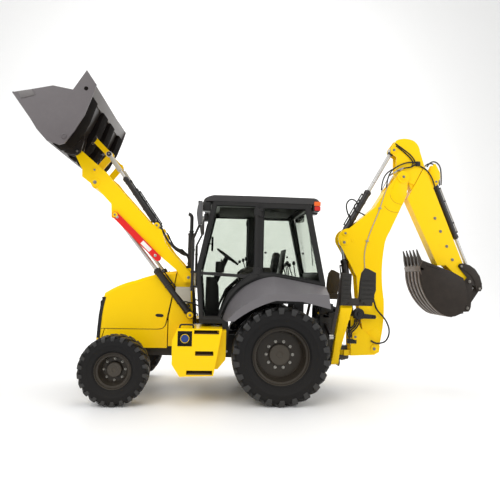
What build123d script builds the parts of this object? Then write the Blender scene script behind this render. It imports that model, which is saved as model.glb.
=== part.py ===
from build123d import *
import os
from math import atan2, degrees, hypot

# Backhoe loader, whole machine: raised loader, folded backhoe, stabilizers up.
# Millimetres. +X points to the backhoe, -X to the loader bucket, -Y is the machine's left side,
# +Z is up and the wheels stand on Z = 0.

os.makedirs("parts", exist_ok=True)

# Wheels and axles
wheelbase = 2190
rear_axle_x = 150
front_axle_x = rear_axle_x - wheelbase
front_tyre_radius = 457
front_tyre_width = 340
front_rim_radius = 235
front_track_half = 915
rear_tyre_radius = 660
rear_tyre_width = 430
rear_rim_radius = 381
rear_track_half = 868
rear_tube_radius = 95
kingpin_half = 690
kingpin_radius = 62
hub_radius = 85
seat_gap = 0.5

# Main frame
rail_half_outer = 330
rail_thickness = 40
rail_bottom = 560
rail_top = 860
rail_front_x = front_axle_x - 260
rail_rear_x = 870

# Hood, cowl and engine
hood_half = 430
hood_wall = 30
hood_hinge = (front_axle_x - 340, 790)
engine_size = (920, 520, 510)
skirt_bottom = 672
hood_bottom = 940
tower_x = (-1325, -1050)
tower_top = 1815

# Loader
arm_inner = 440
arm_width = 90
arm_mid = arm_inner + arm_width / 2
arm_pivot = (-1125, 1680)
lift_base = (-1090, 1150)
lift_eye = (-2170, 2535)
tilt_base = (-1593, 2407)
lever_base = (-2480, 3165)
lever_pin = (-2295, 3405)
link_pin = (-2545, 3652)
bucket_hinge = (-2725, 3415)
loader_bucket_half = 1130
bucket_side_plate = 20
arm_pin_radius = 38
lift_pin_radius = 32
bucket_pin_radius = 28
lever_pin_radius = 24
lever_base_radius = 30
pin_clearance = 0.3
lever_thickness = 32
lever_from = arm_inner - 36 - lever_thickness
link_thickness = 30
link_from = lever_from - 6 - link_thickness
link_bracket_from = link_from - 6 - 30
lift_rod_radius = 28
tilt_rod_radius = 20
tilt_barrel_radius = 35
tilt_mid = arm_inner + 50

# Cab
cab_half = 760
cab_wall = 50
roof_half = 770
roof_bottom = 2745
roof_top = 2835
door_rear_x = -150
cab_floor_low = 1060
cab_floor_high = 1345
glass = 8

# Backhoe
swing_x = 1240
boom_foot = (1695, 655)
boom_pin = (2150, 3318)
boom_cylinder_base = (1400, 830)
boom_cylinder_eye = (1222, 2270)
dipper_cylinder_base = (1240, 2410)
dipper_cylinder_eye = (2004, 3744)
bucket_pivot = (3202, 1708)
guide_pin = (3081, 1944)
bucket_eye = (3377, 1601)
dig_bucket_pin = (3168, 1298)
bucket_cylinder_base = (2698, 3270)
boom_half = 105
boom_plate = 20
fork_half = 89
boom_foot_radius = 42
boom_pin_radius = 34
dig_bucket_half = 300

# Stabilizers
leg_pivot = (430, 520)
leg_x = (962, 1058)
leg_plate = 20
side_gap = 6
leg_top = (880, 1340)
leg_foot = (60, 1110)
leg_eye = (620, 880)
leg_pin_radius = 30
leg_base_radius = 16
leg_rod_radius = 20
leg_eye_radius = 34


def outline_lines(points):
    """A closed outline; a place marked with a third member is the middle of an arc."""
    count = len(points)
    for i, start in enumerate(points):
        end = points[(i + 1) % count]
        if len(start) == 3:
            continue
        if len(end) == 3:
            ThreePointArc(start, end[:2], points[(i + 2) % count])
        else:
            Line(start, end)


def slab(points, y_from, y_to, mode=Mode.ADD):
    """A plate of the given X, Z outline between two Y places."""
    with BuildSketch(Plane.XZ.offset(-y_from)) as outline:
        with BuildLine():
            outline_lines(points)
        make_face()
    extrude(outline.sketch, amount=y_from - y_to, mode=mode)


def pin(centre, radius, y_from, y_to, mode=Mode.ADD):
    """A round pin, boss or bore across the machine."""
    with BuildSketch(Plane.XZ.offset(-y_from)) as round_face:
        with Locations(centre):
            Circle(radius)
    extrude(round_face.sketch, amount=y_from - y_to, mode=mode)


def bar(start, end, radius, y=0, mode=Mode.ADD):
    """A round bar between two X, Z places in the plane Y = y."""
    run = (end[0] - start[0], 0, end[1] - start[1])
    with BuildSketch(Plane(origin=(start[0], y, start[1]), x_dir=(0, 1, 0), z_dir=run)) as end_face:
        Circle(radius)
    extrude(end_face.sketch, amount=hypot(run[0], run[2]), mode=mode)


def toward(start, end, distance):
    """The place at a distance from start on the way to end."""
    run = hypot(end[0] - start[0], end[1] - start[1])
    return (
        start[0] + (end[0] - start[0]) * distance / run,
        start[1] + (end[1] - start[1]) * distance / run,
    )


def link_bar(start, end, width, y_from, y_to):
    """A flat link with round ends about two pins."""
    middle = ((start[0] + end[0]) / 2, (start[1] + end[1]) / 2)
    turn = degrees(atan2(end[1] - start[1], end[0] - start[0]))
    with BuildSketch(Plane.XZ.offset(-y_from)) as outline:
        with Locations(Location((middle[0], middle[1]), turn)):
            SlotCenterToCenter(hypot(end[0] - start[0], end[1] - start[1]), width)
    extrude(outline.sketch, amount=y_from - y_to)


def write(part, label):
    part.label = label
    export_step(part, f"parts/{label}.step")


# Wheels: a tyre and a dished rim for each corner
def tyre_profile(radius, width, rim):
    """Half section of a tyre, in radius and place across."""
    half = width / 2
    with BuildSketch(Plane.XY) as profile:
        with BuildLine():
            Polyline(
                (-half * 0.62, rim), (-half * 0.95, rim + 22), (-half, (rim + radius) / 2 + 10),
                (-half * 0.9, radius - 32), (-half * 0.78, radius), (half * 0.78, radius),
                (half * 0.9, radius - 32), (half, (rim + radius) / 2 + 10),
                (half * 0.95, rim + 22), (half * 0.62, rim), close=True,
            )
        make_face()
    revolve(profile.sketch, axis=Axis.X)


def make_wheel(label, x, y, radius, width, rim, dish, hub):
    side = 1 if y > 0 else -1
    place = Plane(origin=(x, y, radius), x_dir=(0, side, 0), z_dir=(0, 0, 1))
    with BuildPart() as tyre:
        tyre_profile(radius, width, rim)
    write(tyre.part.moved(place.location), label + "_tyre")
    half = width * 0.31
    with BuildPart() as wheel:
        with BuildSketch(Plane.XY):
            with BuildLine():
                Polyline(
                    (-half - 12, rim - 1), (-half - 12, rim - 34), (-dish - 16, rim - 60),
                    (-dish - 16, hub + 12), (-dish - 70, hub), (-dish - 70, 0), (-dish + 20, 0),
                    (-dish + 20, hub - 10), (-dish, hub), (-dish, rim - 66), (half + 12, rim - 44),
                    (half + 12, rim - 1), close=True,
                )
            make_face()
        revolve(axis=Axis.X)
    write(wheel.part.moved(place.location), label + "_rim")


for side_name, side in (("left", -1), ("right", 1)):
    make_wheel(
        f"front_{side_name}", front_axle_x, side * front_track_half,
        front_tyre_radius, front_tyre_width, front_rim_radius, 20, 106,
    )
    make_wheel(
        f"rear_{side_name}", rear_axle_x, side * rear_track_half,
        rear_tyre_radius, rear_tyre_width, rear_rim_radius, 40, 150,
    )

# Steering knuckles between the axle's forks and the front hubs
for side_name, side in (("left", -1), ("right", 1)):
    with BuildPart() as knuckle:
        with Locations((front_axle_x, side * kingpin_half, front_tyre_radius)):
            Cylinder(kingpin_radius, 197)
        with BuildSketch(Plane.XZ.offset(-side * kingpin_half)):
            with Locations((front_axle_x, front_tyre_radius)):
                Circle(hub_radius)
        extrude(amount=-side * (front_track_half - kingpin_half - 90 - seat_gap))
    write(knuckle.part, f"{side_name}_knuckle")

# Front axle: a beam with a centre trunnion and a fork at each kingpin
with BuildPart() as front_axle:
    with BuildSketch(Plane.XZ.offset(-(kingpin_half - 75))):
        with Locations((front_axle_x, front_tyre_radius)):
            Rectangle(110, 130)
    extrude(amount=2 * (kingpin_half - 75))
    with Locations((front_axle_x, 0, front_tyre_radius)):
        Box(230, 190, 215)
    for side in (-1, 1):
        for level in (-1, 1):
            with Locations((front_axle_x, side * (kingpin_half - 35), front_tyre_radius + level * 117)):
                Box(110, 190, 36)
        with Locations((front_axle_x, side * (kingpin_half - 100), front_tyre_radius)):
            Box(110, 50, 250)
write(front_axle.part, "front_axle")

# Rear axle: centre housing, tubes and hub flanges
with BuildPart() as rear_axle:
    with Locations((rear_axle_x, 0, rear_tyre_radius)):
        Sphere(215)
    tube_end = rear_track_half - 110 - seat_gap
    pin((rear_axle_x, rear_tyre_radius), rear_tube_radius, -tube_end, tube_end)
    for side in (-1, 1):
        with Locations((rear_axle_x, side * (rear_track_half - 190), rear_tyre_radius)):
            Cylinder(150, 120, rotation=(90, 0, 0))
write(rear_axle.part, "rear_axle")

# Main frame: two side rails with cross members, axle bracket and rear posts
tongue_half = 60
tow_hole_x = rail_front_x - 75
tow_hole_radius = 20
tongue = (
    (rail_front_x - 125, 650), (rail_front_x + 5, 650), (rail_front_x + 5, 685), (rail_front_x - 125, 685),
)
cab_posts = ((-850, cab_floor_low), (500, cab_floor_high))
with BuildPart() as main_frame:
    rail = (
        (rail_front_x, rail_bottom + 60), (rail_front_x + 160, rail_bottom + 60),
        (front_axle_x + 300, rail_bottom), (rail_rear_x, rail_bottom - 60),
        (rail_rear_x, rail_top), (rail_front_x, rail_top),
    )
    slab(rail, -rail_half_outer, -rail_half_outer + rail_thickness)
    slab(rail, rail_half_outer - rail_thickness, rail_half_outer)
    for place, height in ((rail_front_x + 25, 240), (front_axle_x + 330, 200), (-900, 200), (500, 200)):
        with Locations((place, 0, rail_top - height / 2)):
            Box(50, 2 * rail_half_outer - 2 * rail_thickness + 2, height)
    with Locations((front_axle_x, 0, (front_tyre_radius + 108 + rail_top - 10) / 2)):
        Box(300, 2 * rail_half_outer - 2, rail_top - 10 - front_tyre_radius - 108)
    pin((rear_axle_x, rear_tyre_radius), rear_tube_radius + seat_gap, -400, 400, mode=Mode.SUBTRACT)
    slab(tongue, -tongue_half, tongue_half)
    for x, top in cab_posts:
        for side in (-1, 1):
            with Locations((x, side * (rail_half_outer - 45), (rail_top - 20 + top) / 2)):
                Box(140, 90, top - rail_top + 20)
    with Locations((tow_hole_x, 0, (tongue[0][1] + tongue[2][1]) / 2)):
        Cylinder(tow_hole_radius, 80, mode=Mode.SUBTRACT)
write(main_frame.part, "main_frame")

# Engine: one plain block on the rails
with BuildPart() as engine:
    with Locations((front_axle_x + 390, 0, rail_top + engine_size[2] / 2)):
        Box(*engine_size)
write(engine.part, "engine")

# Loader towers: one box each side, joined across behind the hood, with pivot bosses
with BuildPart() as towers:
    tower = (
        (tower_x[0] - 70, rail_top - 160), (tower_x[1], rail_top - 160), (tower_x[1], tower_top - 60),
        (tower_x[1] - 60, tower_top), (tower_x[0] + 44, tower_top - 25), (tower_x[0] - 4, 1480),
        (tower_x[0] - 70, 1109),
    )
    slab(tower, -arm_inner + 8, -arm_inner + 8 + 50)
    slab(tower, arm_inner - 8 - 50, arm_inner - 8)
    slab(
        ((tower_x[0] + 60, 1400), (tower_x[1] - 4, 1400), (tower_x[1] - 4, tower_top - 70),
         (tower_x[1] - 60, tower_top), (tower_x[0] + 60, tower_top)),
        -arm_inner + 50, arm_inner - 50,
    )
    for side in (-1, 1):
        pin(arm_pivot, arm_pin_radius, side * (arm_inner - 30), side * (arm_inner + arm_width + 12))
        pin(lift_base, lift_pin_radius, side * (arm_inner - 30), side * (arm_inner + arm_width + 12))
        with Locations(((tower_x[0] + tower_x[1]) / 2, side * 371.5, rail_top - 80)):
            Box(200, 82, 120)
write(towers.part, "loader_towers")

# Hood: a nose, top and two sides, open below and behind
hood_corner = 110
hood_edge = 40
hood_rear_low = -1444
skirt_rear_low = -1437
hood_pin_radius = 17


def hood_section(y, lower):
    """The hood's side outline at one place across, its top lowered by the given amount."""
    side = (
        (hood_hinge[0] - 10, 775), (hood_hinge[0] + 12, 1120, "arc"), (hood_hinge[0] + 75, 1434 - lower),
        (-2100, 1549 - lower, "arc"), (-1879, 1623 - lower), (-1660, 1697 - lower, "arc"),
        (-1432, 1752 - lower), (-1300, 1770 - lower), (-1345, 1480), (hood_rear_low, hood_bottom),
        (hood_hinge[0] + 90, hood_bottom), (hood_hinge[0] + 40, 775),
    )
    with BuildSketch(Plane.XZ.offset(-y)) as outline:
        with BuildLine():
            outline_lines(side)
        make_face()
    return outline.sketch


hood_inside = (
    (hood_hinge[0] + 20, 700), (hood_hinge[0] + 42, 1100, "arc"), (hood_hinge[0] + 100, 1395),
    (-2090, 1507, "arc"), (-1872, 1581), (-1655, 1655, "arc"), (-1428, 1710), (-1200, 1738), (-1200, 700),
)
with BuildPart() as hood:
    hood_sections = [
        hood_section(-hood_half, hood_edge), hood_section(-hood_half + hood_edge, 0),
        hood_section(hood_half - hood_edge, 0), hood_section(hood_half, hood_edge),
    ]
    loft(hood_sections, ruled=True)
    low_edges = [e for e in hood.edges().filter_by(Axis.Y) if abs(e.center().Z - hood_bottom) < 1]
    fillet([e for e in low_edges if abs(e.center().X - hood_rear_low) < 1], hood_corner)
    slab(hood_inside, -hood_half + hood_wall, hood_half - hood_wall, mode=Mode.SUBTRACT)
    for side in (-1, 1):
        pin(hood_hinge, hood_pin_radius, side * (hood_half - 50), side * (hood_half + 8))
write(hood.part, "hood")

# Skirts: the fixed panels under the hood
with BuildPart() as skirts:
    skirt = (
        (hood_hinge[0] + 12, skirt_bottom), (-1410, skirt_bottom), (-1410, 1060),
        (-1414, 1060), (skirt_rear_low, hood_bottom - 8), (hood_hinge[0] + 96, hood_bottom - 8),
        (hood_hinge[0] + 52, 765), (hood_hinge[0] + 12, 765),
    )
    for side in (-1, 1):
        slab(skirt, side * (rail_half_outer + 0.5), side * (hood_half - 4))
    across = skirts.edges().filter_by(Axis.Y)
    fillet([e for e in across if abs(e.center().X - skirt_rear_low) < 1], hood_corner + 8)
    for side in (-1, 1):
        for stop_x in (hood_hinge[0] + 250, -1620):
            with Locations((stop_x, side * (hood_half - 18), hood_bottom - 4.5)):
                Box(60, 20, 8)
write(skirts.part, "skirts")

# Loader arms: two bent boxes joined by a torque tube
arm_outline = (
    (-2775, 3415), (-2762, 3378), (-2740, 3340), (-2655, 3167), (-2652, 3066), (-2596, 3024),
    (-2439, 2906), (-2236, 2692), (-2225, 2500), (-2120, 2480), (-1533, 1976), (-1306, 1786),
    (-1180, 1610), (-1080, 1610), (-1060, 1700), (-1255, 1916), (-1380, 2047), (-1461, 2157),
    (-1522, 2345), (-1667, 2422), (-2226, 3026), (-2316, 3135), (-2497, 3286), (-2690, 3450),
    (-2725, 3465), (-2760, 3450),
)
cross_tube = (-2470, 2990)
with BuildPart() as arms:
    for side in (-1, 1):
        slab(arm_outline, side * arm_inner, side * (arm_inner + arm_width))
        pin(tilt_base, 42, side * arm_inner, side * (arm_inner + arm_width))
    pin(cross_tube, 75, -arm_inner - 1, arm_inner + 1)
    for side in (-1, 1):
        for place, radius in ((arm_pivot, arm_pin_radius), (bucket_hinge, bucket_pin_radius)):
            pin(
                place, radius + pin_clearance, side * (arm_inner - 20), side * (arm_inner + arm_width + 20),
                mode=Mode.SUBTRACT,
            )
        slab(
            ((-2330, 2400), (-2330, 2560), (-2240, 2660), (-2110, 2660), (-1950, 2420), (-1850, 2200),
             (-2100, 2200)),
            side * (arm_mid - 33), side * (arm_mid + 33), mode=Mode.SUBTRACT,
        )
        pin(tilt_base, 56, side * (tilt_mid - 28), side * (tilt_mid + 28), mode=Mode.SUBTRACT)
    for side in (-1, 1):
        pin(lift_eye, 36, side * (arm_inner - 6), side * (arm_mid - 33))
        pin(lift_eye, 26, side * (arm_mid + 33), side * (arm_inner + arm_width + 50))
        pin(tilt_base, lever_pin_radius, side * arm_inner, side * (arm_inner + arm_width))
        pin(lever_base, lever_base_radius, side * lever_from, side * (arm_inner + 2))
write(arms.part, "loader_arms")

# Lift cylinders, one under each arm
lift_length = hypot(lift_eye[0] - lift_base[0], lift_eye[1] - lift_base[1])
lift_barrel_end = toward(lift_base, lift_eye, 800)
lift_barrel_radius = 50
with BuildPart() as lift_barrels:
    for side in (-1, 1):
        pin(lift_base, 56, side * (arm_inner + 12), side * (arm_inner + arm_width - 6))
        bar(toward(lift_base, lift_eye, 40), lift_barrel_end, lift_barrel_radius, side * arm_mid)
    for side in (-1, 1):
        pin(
            lift_base, lift_pin_radius + pin_clearance, side * arm_inner, side * (arm_inner + arm_width + 4),
            mode=Mode.SUBTRACT,
        )
        bar(
            toward(lift_base, lift_eye, 70), toward(lift_base, lift_eye, 820),
            lift_rod_radius + pin_clearance, side * arm_mid, mode=Mode.SUBTRACT,
        )
write(lift_barrels.part, "lift_cylinder_barrels")
with BuildPart() as lift_rods:
    for side in (-1, 1):
        pin(lift_eye, 48, side * (arm_mid - 30), side * (arm_mid + 30))
        rod_start = toward(lift_base, lift_eye, 745)
        rod_end = toward(lift_base, lift_eye, lift_length - 30)
        bar(rod_start, rod_end, lift_rod_radius, side * arm_mid)
write(lift_rods.part, "lift_cylinder_rods")

# Bucket levers, one inside each arm, with the pin that the tilt rod and the link share
with BuildPart() as levers:
    for side in (-1, 1):
        link_bar(lever_base, lever_pin, 96, side * lever_from, side * (lever_from + lever_thickness))
        pin(
            lever_base, lever_base_radius + pin_clearance, side * (lever_from - 1), side * (arm_inner + 1),
            mode=Mode.SUBTRACT,
        )
    for side in (-1, 1):
        pin(lever_pin, lever_pin_radius, side * (link_from - 4), side * (lever_from + lever_thickness + 4))
write(levers.part, "bucket_levers")
with BuildPart() as links:
    for side in (-1, 1):
        link_bar(lever_pin, link_pin, 76, side * link_from, side * (link_from + link_thickness))
        pin(
            lever_pin, lever_pin_radius + pin_clearance, side * (link_from - 10), side * (lever_from + 1),
            mode=Mode.SUBTRACT,
        )
write(links.part, "bucket_links")

# Tilt cylinders on top of the arms
tilt_length = hypot(lever_pin[0] - tilt_base[0], lever_pin[1] - tilt_base[1])
with BuildPart() as tilt_barrels:
    for side in (-1, 1):
        pin(tilt_base, 42, side * (tilt_mid - 22), side * (tilt_mid + 22))
        bar(toward(tilt_base, lever_pin, 30), toward(tilt_base, lever_pin, 90), 21, side * tilt_mid)
        barrel_start = toward(tilt_base, lever_pin, 75)
        bar(barrel_start, toward(tilt_base, lever_pin, 815), tilt_barrel_radius, side * tilt_mid)
    for side in (-1, 1):
        pin(
            tilt_base, lever_pin_radius + pin_clearance, side * arm_inner, side * (arm_inner + arm_width),
            mode=Mode.SUBTRACT,
        )
        bar(
            toward(tilt_base, lever_pin, 100), toward(tilt_base, lever_pin, 830),
            tilt_rod_radius + pin_clearance, side * tilt_mid, mode=Mode.SUBTRACT,
        )
write(tilt_barrels.part, "tilt_cylinder_barrels")
with BuildPart() as tilt_rods:
    for side in (-1, 1):
        pin(lever_pin, 40, side * (tilt_mid - 22), side * (tilt_mid + 22))
        pin(lever_pin, 22, side * arm_inner, side * (tilt_mid + 30))
        rod_start = toward(tilt_base, lever_pin, 420)
        bar(rod_start, toward(tilt_base, lever_pin, tilt_length - 30), tilt_rod_radius, side * tilt_mid)
write(tilt_rods.part, "tilt_cylinder_rods")

# Loader bucket: side plates, a bent shell open at the front and the back brackets
bucket_side = (
    (-3420, 4017), (-3179, 4068), (-2910, 4130), (-2656, 4089), (-2488, 4355), (-2359, 4169),
    (-2401, 4030), (-2496, 3763), (-2614, 3550), (-2733, 3382), (-2805, 3357), (-2963, 3405),
    (-3094, 3551), (-3182, 3688), (-3348, 3917),
)
shell = (
    (-3420, 4017), (-3348, 3917), (-3182, 3688), (-3094, 3551), (-2963, 3405), (-2905, 3400),
    (-2690, 3560), (-2565, 3795), (-2450, 4045), (-2386, 4178),
    (-2402, 4184), (-2467, 4051), (-2581, 3803), (-2703, 3572), (-2909, 3418),
    (-2955, 3422), (-3080, 3562), (-3168, 3698), (-3334, 3927), (-3407, 4027),
)
hinge_bracket = (
    (-2905, 3395), (-2800, 3365), (-2725, 3362), (-2675, 3405), (-2660, 3480), (-2640, 3560),
    (-2640, 3650), (-2660, 3620), (-2685, 3565), (-2905, 3402),
)
link_bracket = (
    (-2690, 3560), (-2640, 3560), (-2530, 3604), (-2500, 3652), (-2515, 3697), (-2585, 3730), (-2600, 3730),
)
with BuildPart() as loader_bucket:
    slab(shell, -loader_bucket_half, loader_bucket_half)
    for side in (-1, 1):
        slab(bucket_side, side * (loader_bucket_half - bucket_side_plate), side * loader_bucket_half)
        slab(hinge_bracket, side * (arm_inner - 26), side * (arm_inner - 6))
        slab(hinge_bracket, side * (arm_inner + arm_width + 6), side * (arm_inner + arm_width + 26))
        slab(link_bracket, side * link_bracket_from, side * (link_bracket_from + 30))
        slab(link_bracket, side * (link_from + link_thickness + 6), side * (link_from + link_thickness + 22))
    for side in (-1, 1):
        pin(bucket_hinge, bucket_pin_radius, side * (arm_inner - 26), side * (arm_inner + arm_width + 30))
write(loader_bucket.part, "loader_bucket")

# Safety strut: a red channel that hangs on the left arm's lift pin, stowed along the arm
strut_end = (-1560, 1945)
with BuildPart() as strut:
    link_bar(lift_eye, strut_end, 90, -(arm_inner + arm_width + 6), -(arm_inner + arm_width + 46))
    pin(lift_eye, 26.3, -(arm_inner + arm_width), -(arm_inner + arm_width + 50), mode=Mode.SUBTRACT)
write(strut.part, "safety_strut")

# Side boxes below the cab: fuel tank with steps on the left, its twin on the right
box_outline = (
    (-1292, 545), (-1188, 385), (-745, 400), (-640, 1015), (-1225, 1015), (-1296, 850),
)
# Middle X and Z, length and height of each step's slot
step_slots = (
    (-845, 968, 330, 52),
    (-870, 690, 240, 60),
    (-930, 440, 340, 56),
)
box_inner = arm_inner - 7.5
box_outer = 1020
cap_centre = (-1129, 881)
for side_name, side in (("left_fuel_tank", -1), ("right_step_box", 1)):
    with BuildPart() as step_box:
        slab(box_outline, side * box_inner, side * box_outer)
        for x, z, run, rise in step_slots:
            with Locations((x, side * (box_outer - 70), z)):
                Box(run, 150, rise, mode=Mode.SUBTRACT)
        if side < 0:
            with Locations((cap_centre[0], side * (box_outer - 30), cap_centre[1])):
                Box(190, 64, 200, mode=Mode.SUBTRACT)
            pin(cap_centre, 58, side * (box_outer - 63), side * (box_outer - 8))
    write(step_box.part, side_name)

# Cab: floor, pillars, rails and rear frame in one weldment
cab_front_bottom = (-955, cab_floor_low)
cab_front_knee = (-1015, 1760)
cab_front_top = (-800, roof_bottom)
cab_rear_top = (560, roof_bottom)
cab_rear_low = (790, 1640)
cab_rear_floor = (780, cab_floor_high)
cab_outline = (
    cab_front_bottom, cab_front_knee, cab_front_top, cab_rear_top, cab_rear_low, cab_rear_floor,
    (-330, cab_floor_high), (-600, cab_floor_low),
)
door_opening = (
    (-895, 1140), (-950, 1755), (-745, roof_bottom - 70), (door_rear_x - 55, roof_bottom - 70),
    (door_rear_x - 55, 1740), (-330, 1640), (-540, 1430), (-660, 1140),
)
side_window = (
    (door_rear_x + 55, roof_bottom - 70), (490, roof_bottom - 70), (712, 1662), (60, 1768),
    (door_rear_x + 55, 1775),
)
door_hinges = (1793, 2606)
door_hinge_y = cab_half + 30
with BuildPart() as cab_frame:
    slab(cab_outline, -cab_half, cab_half)
    slab(
        ((-905, 1110), (-960, 1758), (-750, roof_bottom + 10), (515, roof_bottom + 10), (745, 1635),
         (730, 1395), (-352, 1395), (-620, 1110)),
        -cab_half + cab_wall, cab_half - cab_wall, mode=Mode.SUBTRACT,
    )
    slab(door_opening, -cab_half - 1, cab_half + 1, mode=Mode.SUBTRACT)
    slab(side_window, -cab_half - 1, cab_half + 1, mode=Mode.SUBTRACT)
    with Locations((-950, 0, (1800 + roof_bottom - 60) / 2)):
        Box(500, 2 * cab_half - 2 * 70, roof_bottom - 60 - 1800, mode=Mode.SUBTRACT)
    with Locations((-980, 0, 1430)):
        Box(260, 2 * cab_half - 2 * 70, 560, mode=Mode.SUBTRACT)
    with Locations((680, 0, (1780 + roof_bottom - 60) / 2)):
        Box(400, 2 * cab_half - 2 * 70, roof_bottom - 60 - 1780, mode=Mode.SUBTRACT)
    for side in (-1, 1):
        for height in door_hinges:
            with Locations((door_rear_x, side * door_hinge_y, height)):
                Cylinder(8, 110)
            for level in (-1, 1):
                with Locations((door_rear_x, side * door_hinge_y, height + level * 43)):
                    Cylinder(15, 25)
                with Locations((door_rear_x + 20, side * (cab_half + 20), height + level * 43)):
                    Box(40, 42, 25)
write(cab_frame.part, "cab_frame")

# Roof: a shallow cap with rounded corners
roof_seat = roof_bottom + 0.5
roof_outline = (
    (-940, roof_seat), (-925, roof_seat + 32), (-880, roof_seat + 58, "arc"), (-790, roof_top - 4),
    (-110, roof_top, "arc"), (585, roof_top - 4), (672, roof_seat + 62, "arc"), (708, roof_seat + 22),
    (712, roof_seat),
)
with BuildPart() as roof:
    with BuildSketch(Plane.XY.offset(roof_seat)):
        with Locations((-114, 0)):
            RectangleRounded(1652, 2 * roof_half, 90)
    extrude(amount=roof_top - roof_seat)
    slab(roof_outline, -roof_half - 1, roof_half + 1, mode=Mode.INTERSECT)
write(roof.part, "cab_roof")

# Rear fender's inner arc, which the doors follow
fender_start = (-640, 1120)
fender_crown = (-377, 1550)
fender_shoulder = (60, 1729)
fender_arc = ThreePointArc(fender_start, fender_crown, fender_shoulder)
fender_centre = (fender_arc.arc_center.X, fender_arc.arc_center.Y)
fender_radius = fender_arc.radius
door_fender_gap = 32

# Doors: one frame each side that follows the fender, hinged at the rear post
door_outline = (
    (-955, 1120), (-1008, 1760), (-795, roof_bottom - 10), (door_rear_x - 20, roof_bottom - 10),
    (door_rear_x - 20, 1600), (-500, 1120),
)
door_window = (
    (-905, 1160), (-955, 1757), (-755, roof_bottom - 55), (door_rear_x - 65, roof_bottom - 55),
    (door_rear_x - 65, 1790), (-340, 1700), (-560, 1490), (-700, 1160),
)
door_gap = 6
door_thickness = 40
for side_name, side in (("left", -1), ("right", 1)):
    near = side * (cab_half + door_gap)
    far = side * (cab_half + door_gap + door_thickness)
    with BuildPart() as door:
        slab(door_outline, near, far)
        pin(fender_centre, fender_radius + door_fender_gap, near - side, far + side, mode=Mode.SUBTRACT)
        slab(door_window, near - side, far + side, mode=Mode.SUBTRACT)
        for height in door_hinges:
            with Locations((door_rear_x - 13, side * door_hinge_y, height)):
                Box(26, 20, 60)
            with Locations((door_rear_x, side * door_hinge_y, height)):
                Cylinder(15, 60)
                Cylinder(8.3, 70, mode=Mode.SUBTRACT)
    write(door.part, f"{side_name}_door")
    pane = side * (cab_half + door_gap + door_thickness / 2)
    with BuildPart() as door_glass:
        slab(
            ((-904.5, 1160.5), (-954.5, 1757), (-754.7, roof_bottom - 55.5),
             (door_rear_x - 65.5, roof_bottom - 55.5), (door_rear_x - 65.5, 1790.5), (-340.3, 1700.6),
             (-560.5, 1490.4), (-700.5, 1160.5)),
            pane, pane + side * glass,
        )
    write(door_glass.part, f"{side_name}_door_glass")

# Fixed panes: windscreen halves, rear window and the side windows behind the doors
with BuildPart() as cab_glass:
    for side in (-1, 1):
        slab(
            ((door_rear_x + 55.5, roof_bottom - 70.5), (489.5, roof_bottom - 70.5), (711.2, 1662.7),
             (60, 1768.6), (door_rear_x + 55.5, 1775.6)),
            side * (cab_half - 30), side * (cab_half - 30 + glass),
        )
    slab(
        ((-1004, 1806), (-996, 1806), (-812, roof_bottom - 64), (-820, roof_bottom - 64)),
        -cab_half + 70.5, cab_half - 70.5,
    )
    slab(
        ((742, 1786), (750, 1786), (590, roof_bottom - 64), (582, roof_bottom - 64)),
        -cab_half + 70.5, cab_half - 70.5,
    )
write(cab_glass.part, "cab_glass")

# Rear fenders: a band that slopes outward and down over each rear tyre
fender_thickness = 36
fender_knee = 350


def fender_section(y, start, crown, shoulder, tail, drop, flare):
    """The band's section at one place across: two arcs, their ends and their inner twins."""
    knee_x = shoulder[0] + fender_knee
    knee_z = shoulder[1] + (tail[1] - shoulder[1]) * fender_knee / (tail[0] - shoulder[0]) - drop
    with BuildSketch(Plane.XZ.offset(-y)) as section:
        with BuildLine():
            ThreePointArc(start, crown, shoulder)
            Line(shoulder, tail)
            Line(tail, (tail[0] + flare * 0.3, tail[1] - drop - flare))
            Line((tail[0] + flare * 0.3, tail[1] - drop - flare), (knee_x, knee_z))
            Line((knee_x, knee_z), (shoulder[0], shoulder[1] - drop))
            ThreePointArc(
                (shoulder[0], shoulder[1] - drop), (crown[0] + drop * 0.7, crown[1] - drop * 0.8),
                (start[0] + drop, start[1]),
            )
            Line((start[0] + drop, start[1]), start)
        make_face()
    return section.sketch


fender_edge = 100
fender_flare = 90
fender_inner_flare = 10
fender_out = 1085
with BuildPart() as fenders:
    for side in (-1, 1):
        inner = fender_section(
            side * (cab_half + 0.5), fender_start, fender_crown, fender_shoulder, (790, 1600),
            fender_thickness, fender_inner_flare,
        )
        outer = fender_section(
            side * fender_out, (-590, 1120), (-330, 1352), (60, 1500), (770, 1490), fender_edge, fender_flare,
        )
        loft([inner, outer], ruled=True)
write(fenders.part, "rear_fenders")

# Operator's seat on its pedestal
with BuildPart() as seat:
    with Locations((-80, 0, 1530)):
        Box(500, 500, 120)
    with BuildSketch(Plane.XZ.offset(-240)):
        with BuildLine():
            Polyline((120, 1560), (230, 2140), (310, 2140), (240, 1480), (120, 1480), close=True)
        make_face()
    extrude(amount=480)
    with Locations((-60, 0, 1432.5)):
        Box(330, 330, 74.4)
write(seat.part, "operator_seat")

# Controls: dash and column with the steering wheel in front, two lever consoles behind
wheel_rim_radius = 205
with BuildPart() as controls:
    slab(((-890, 1110.5), (-670, 1110.5), (-690, 1560), (-790, 1700), (-880, 1700)), -170, 170)
    with BuildSketch(Plane(origin=(-650, 0, 1790), x_dir=(0, 1, 0), z_dir=(0.45, 0, 1))):
        Circle(wheel_rim_radius)
        Circle(wheel_rim_radius - 25, mode=Mode.SUBTRACT)
        Rectangle(380, 34)
        Circle(60)
    extrude(amount=26)
    bar((-760, 1600), (-645, 1800), 34)
    for side in (-1, 1):
        with Locations((430, side * 330, 1490)):
            Box(220, 200, 189)
        with Locations((430, side * 330, 1700)):
            Cylinder(14, 240)
        with Locations((430, side * 330, 1820)):
            Sphere(32)
write(controls.part, "cab_controls")

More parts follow.
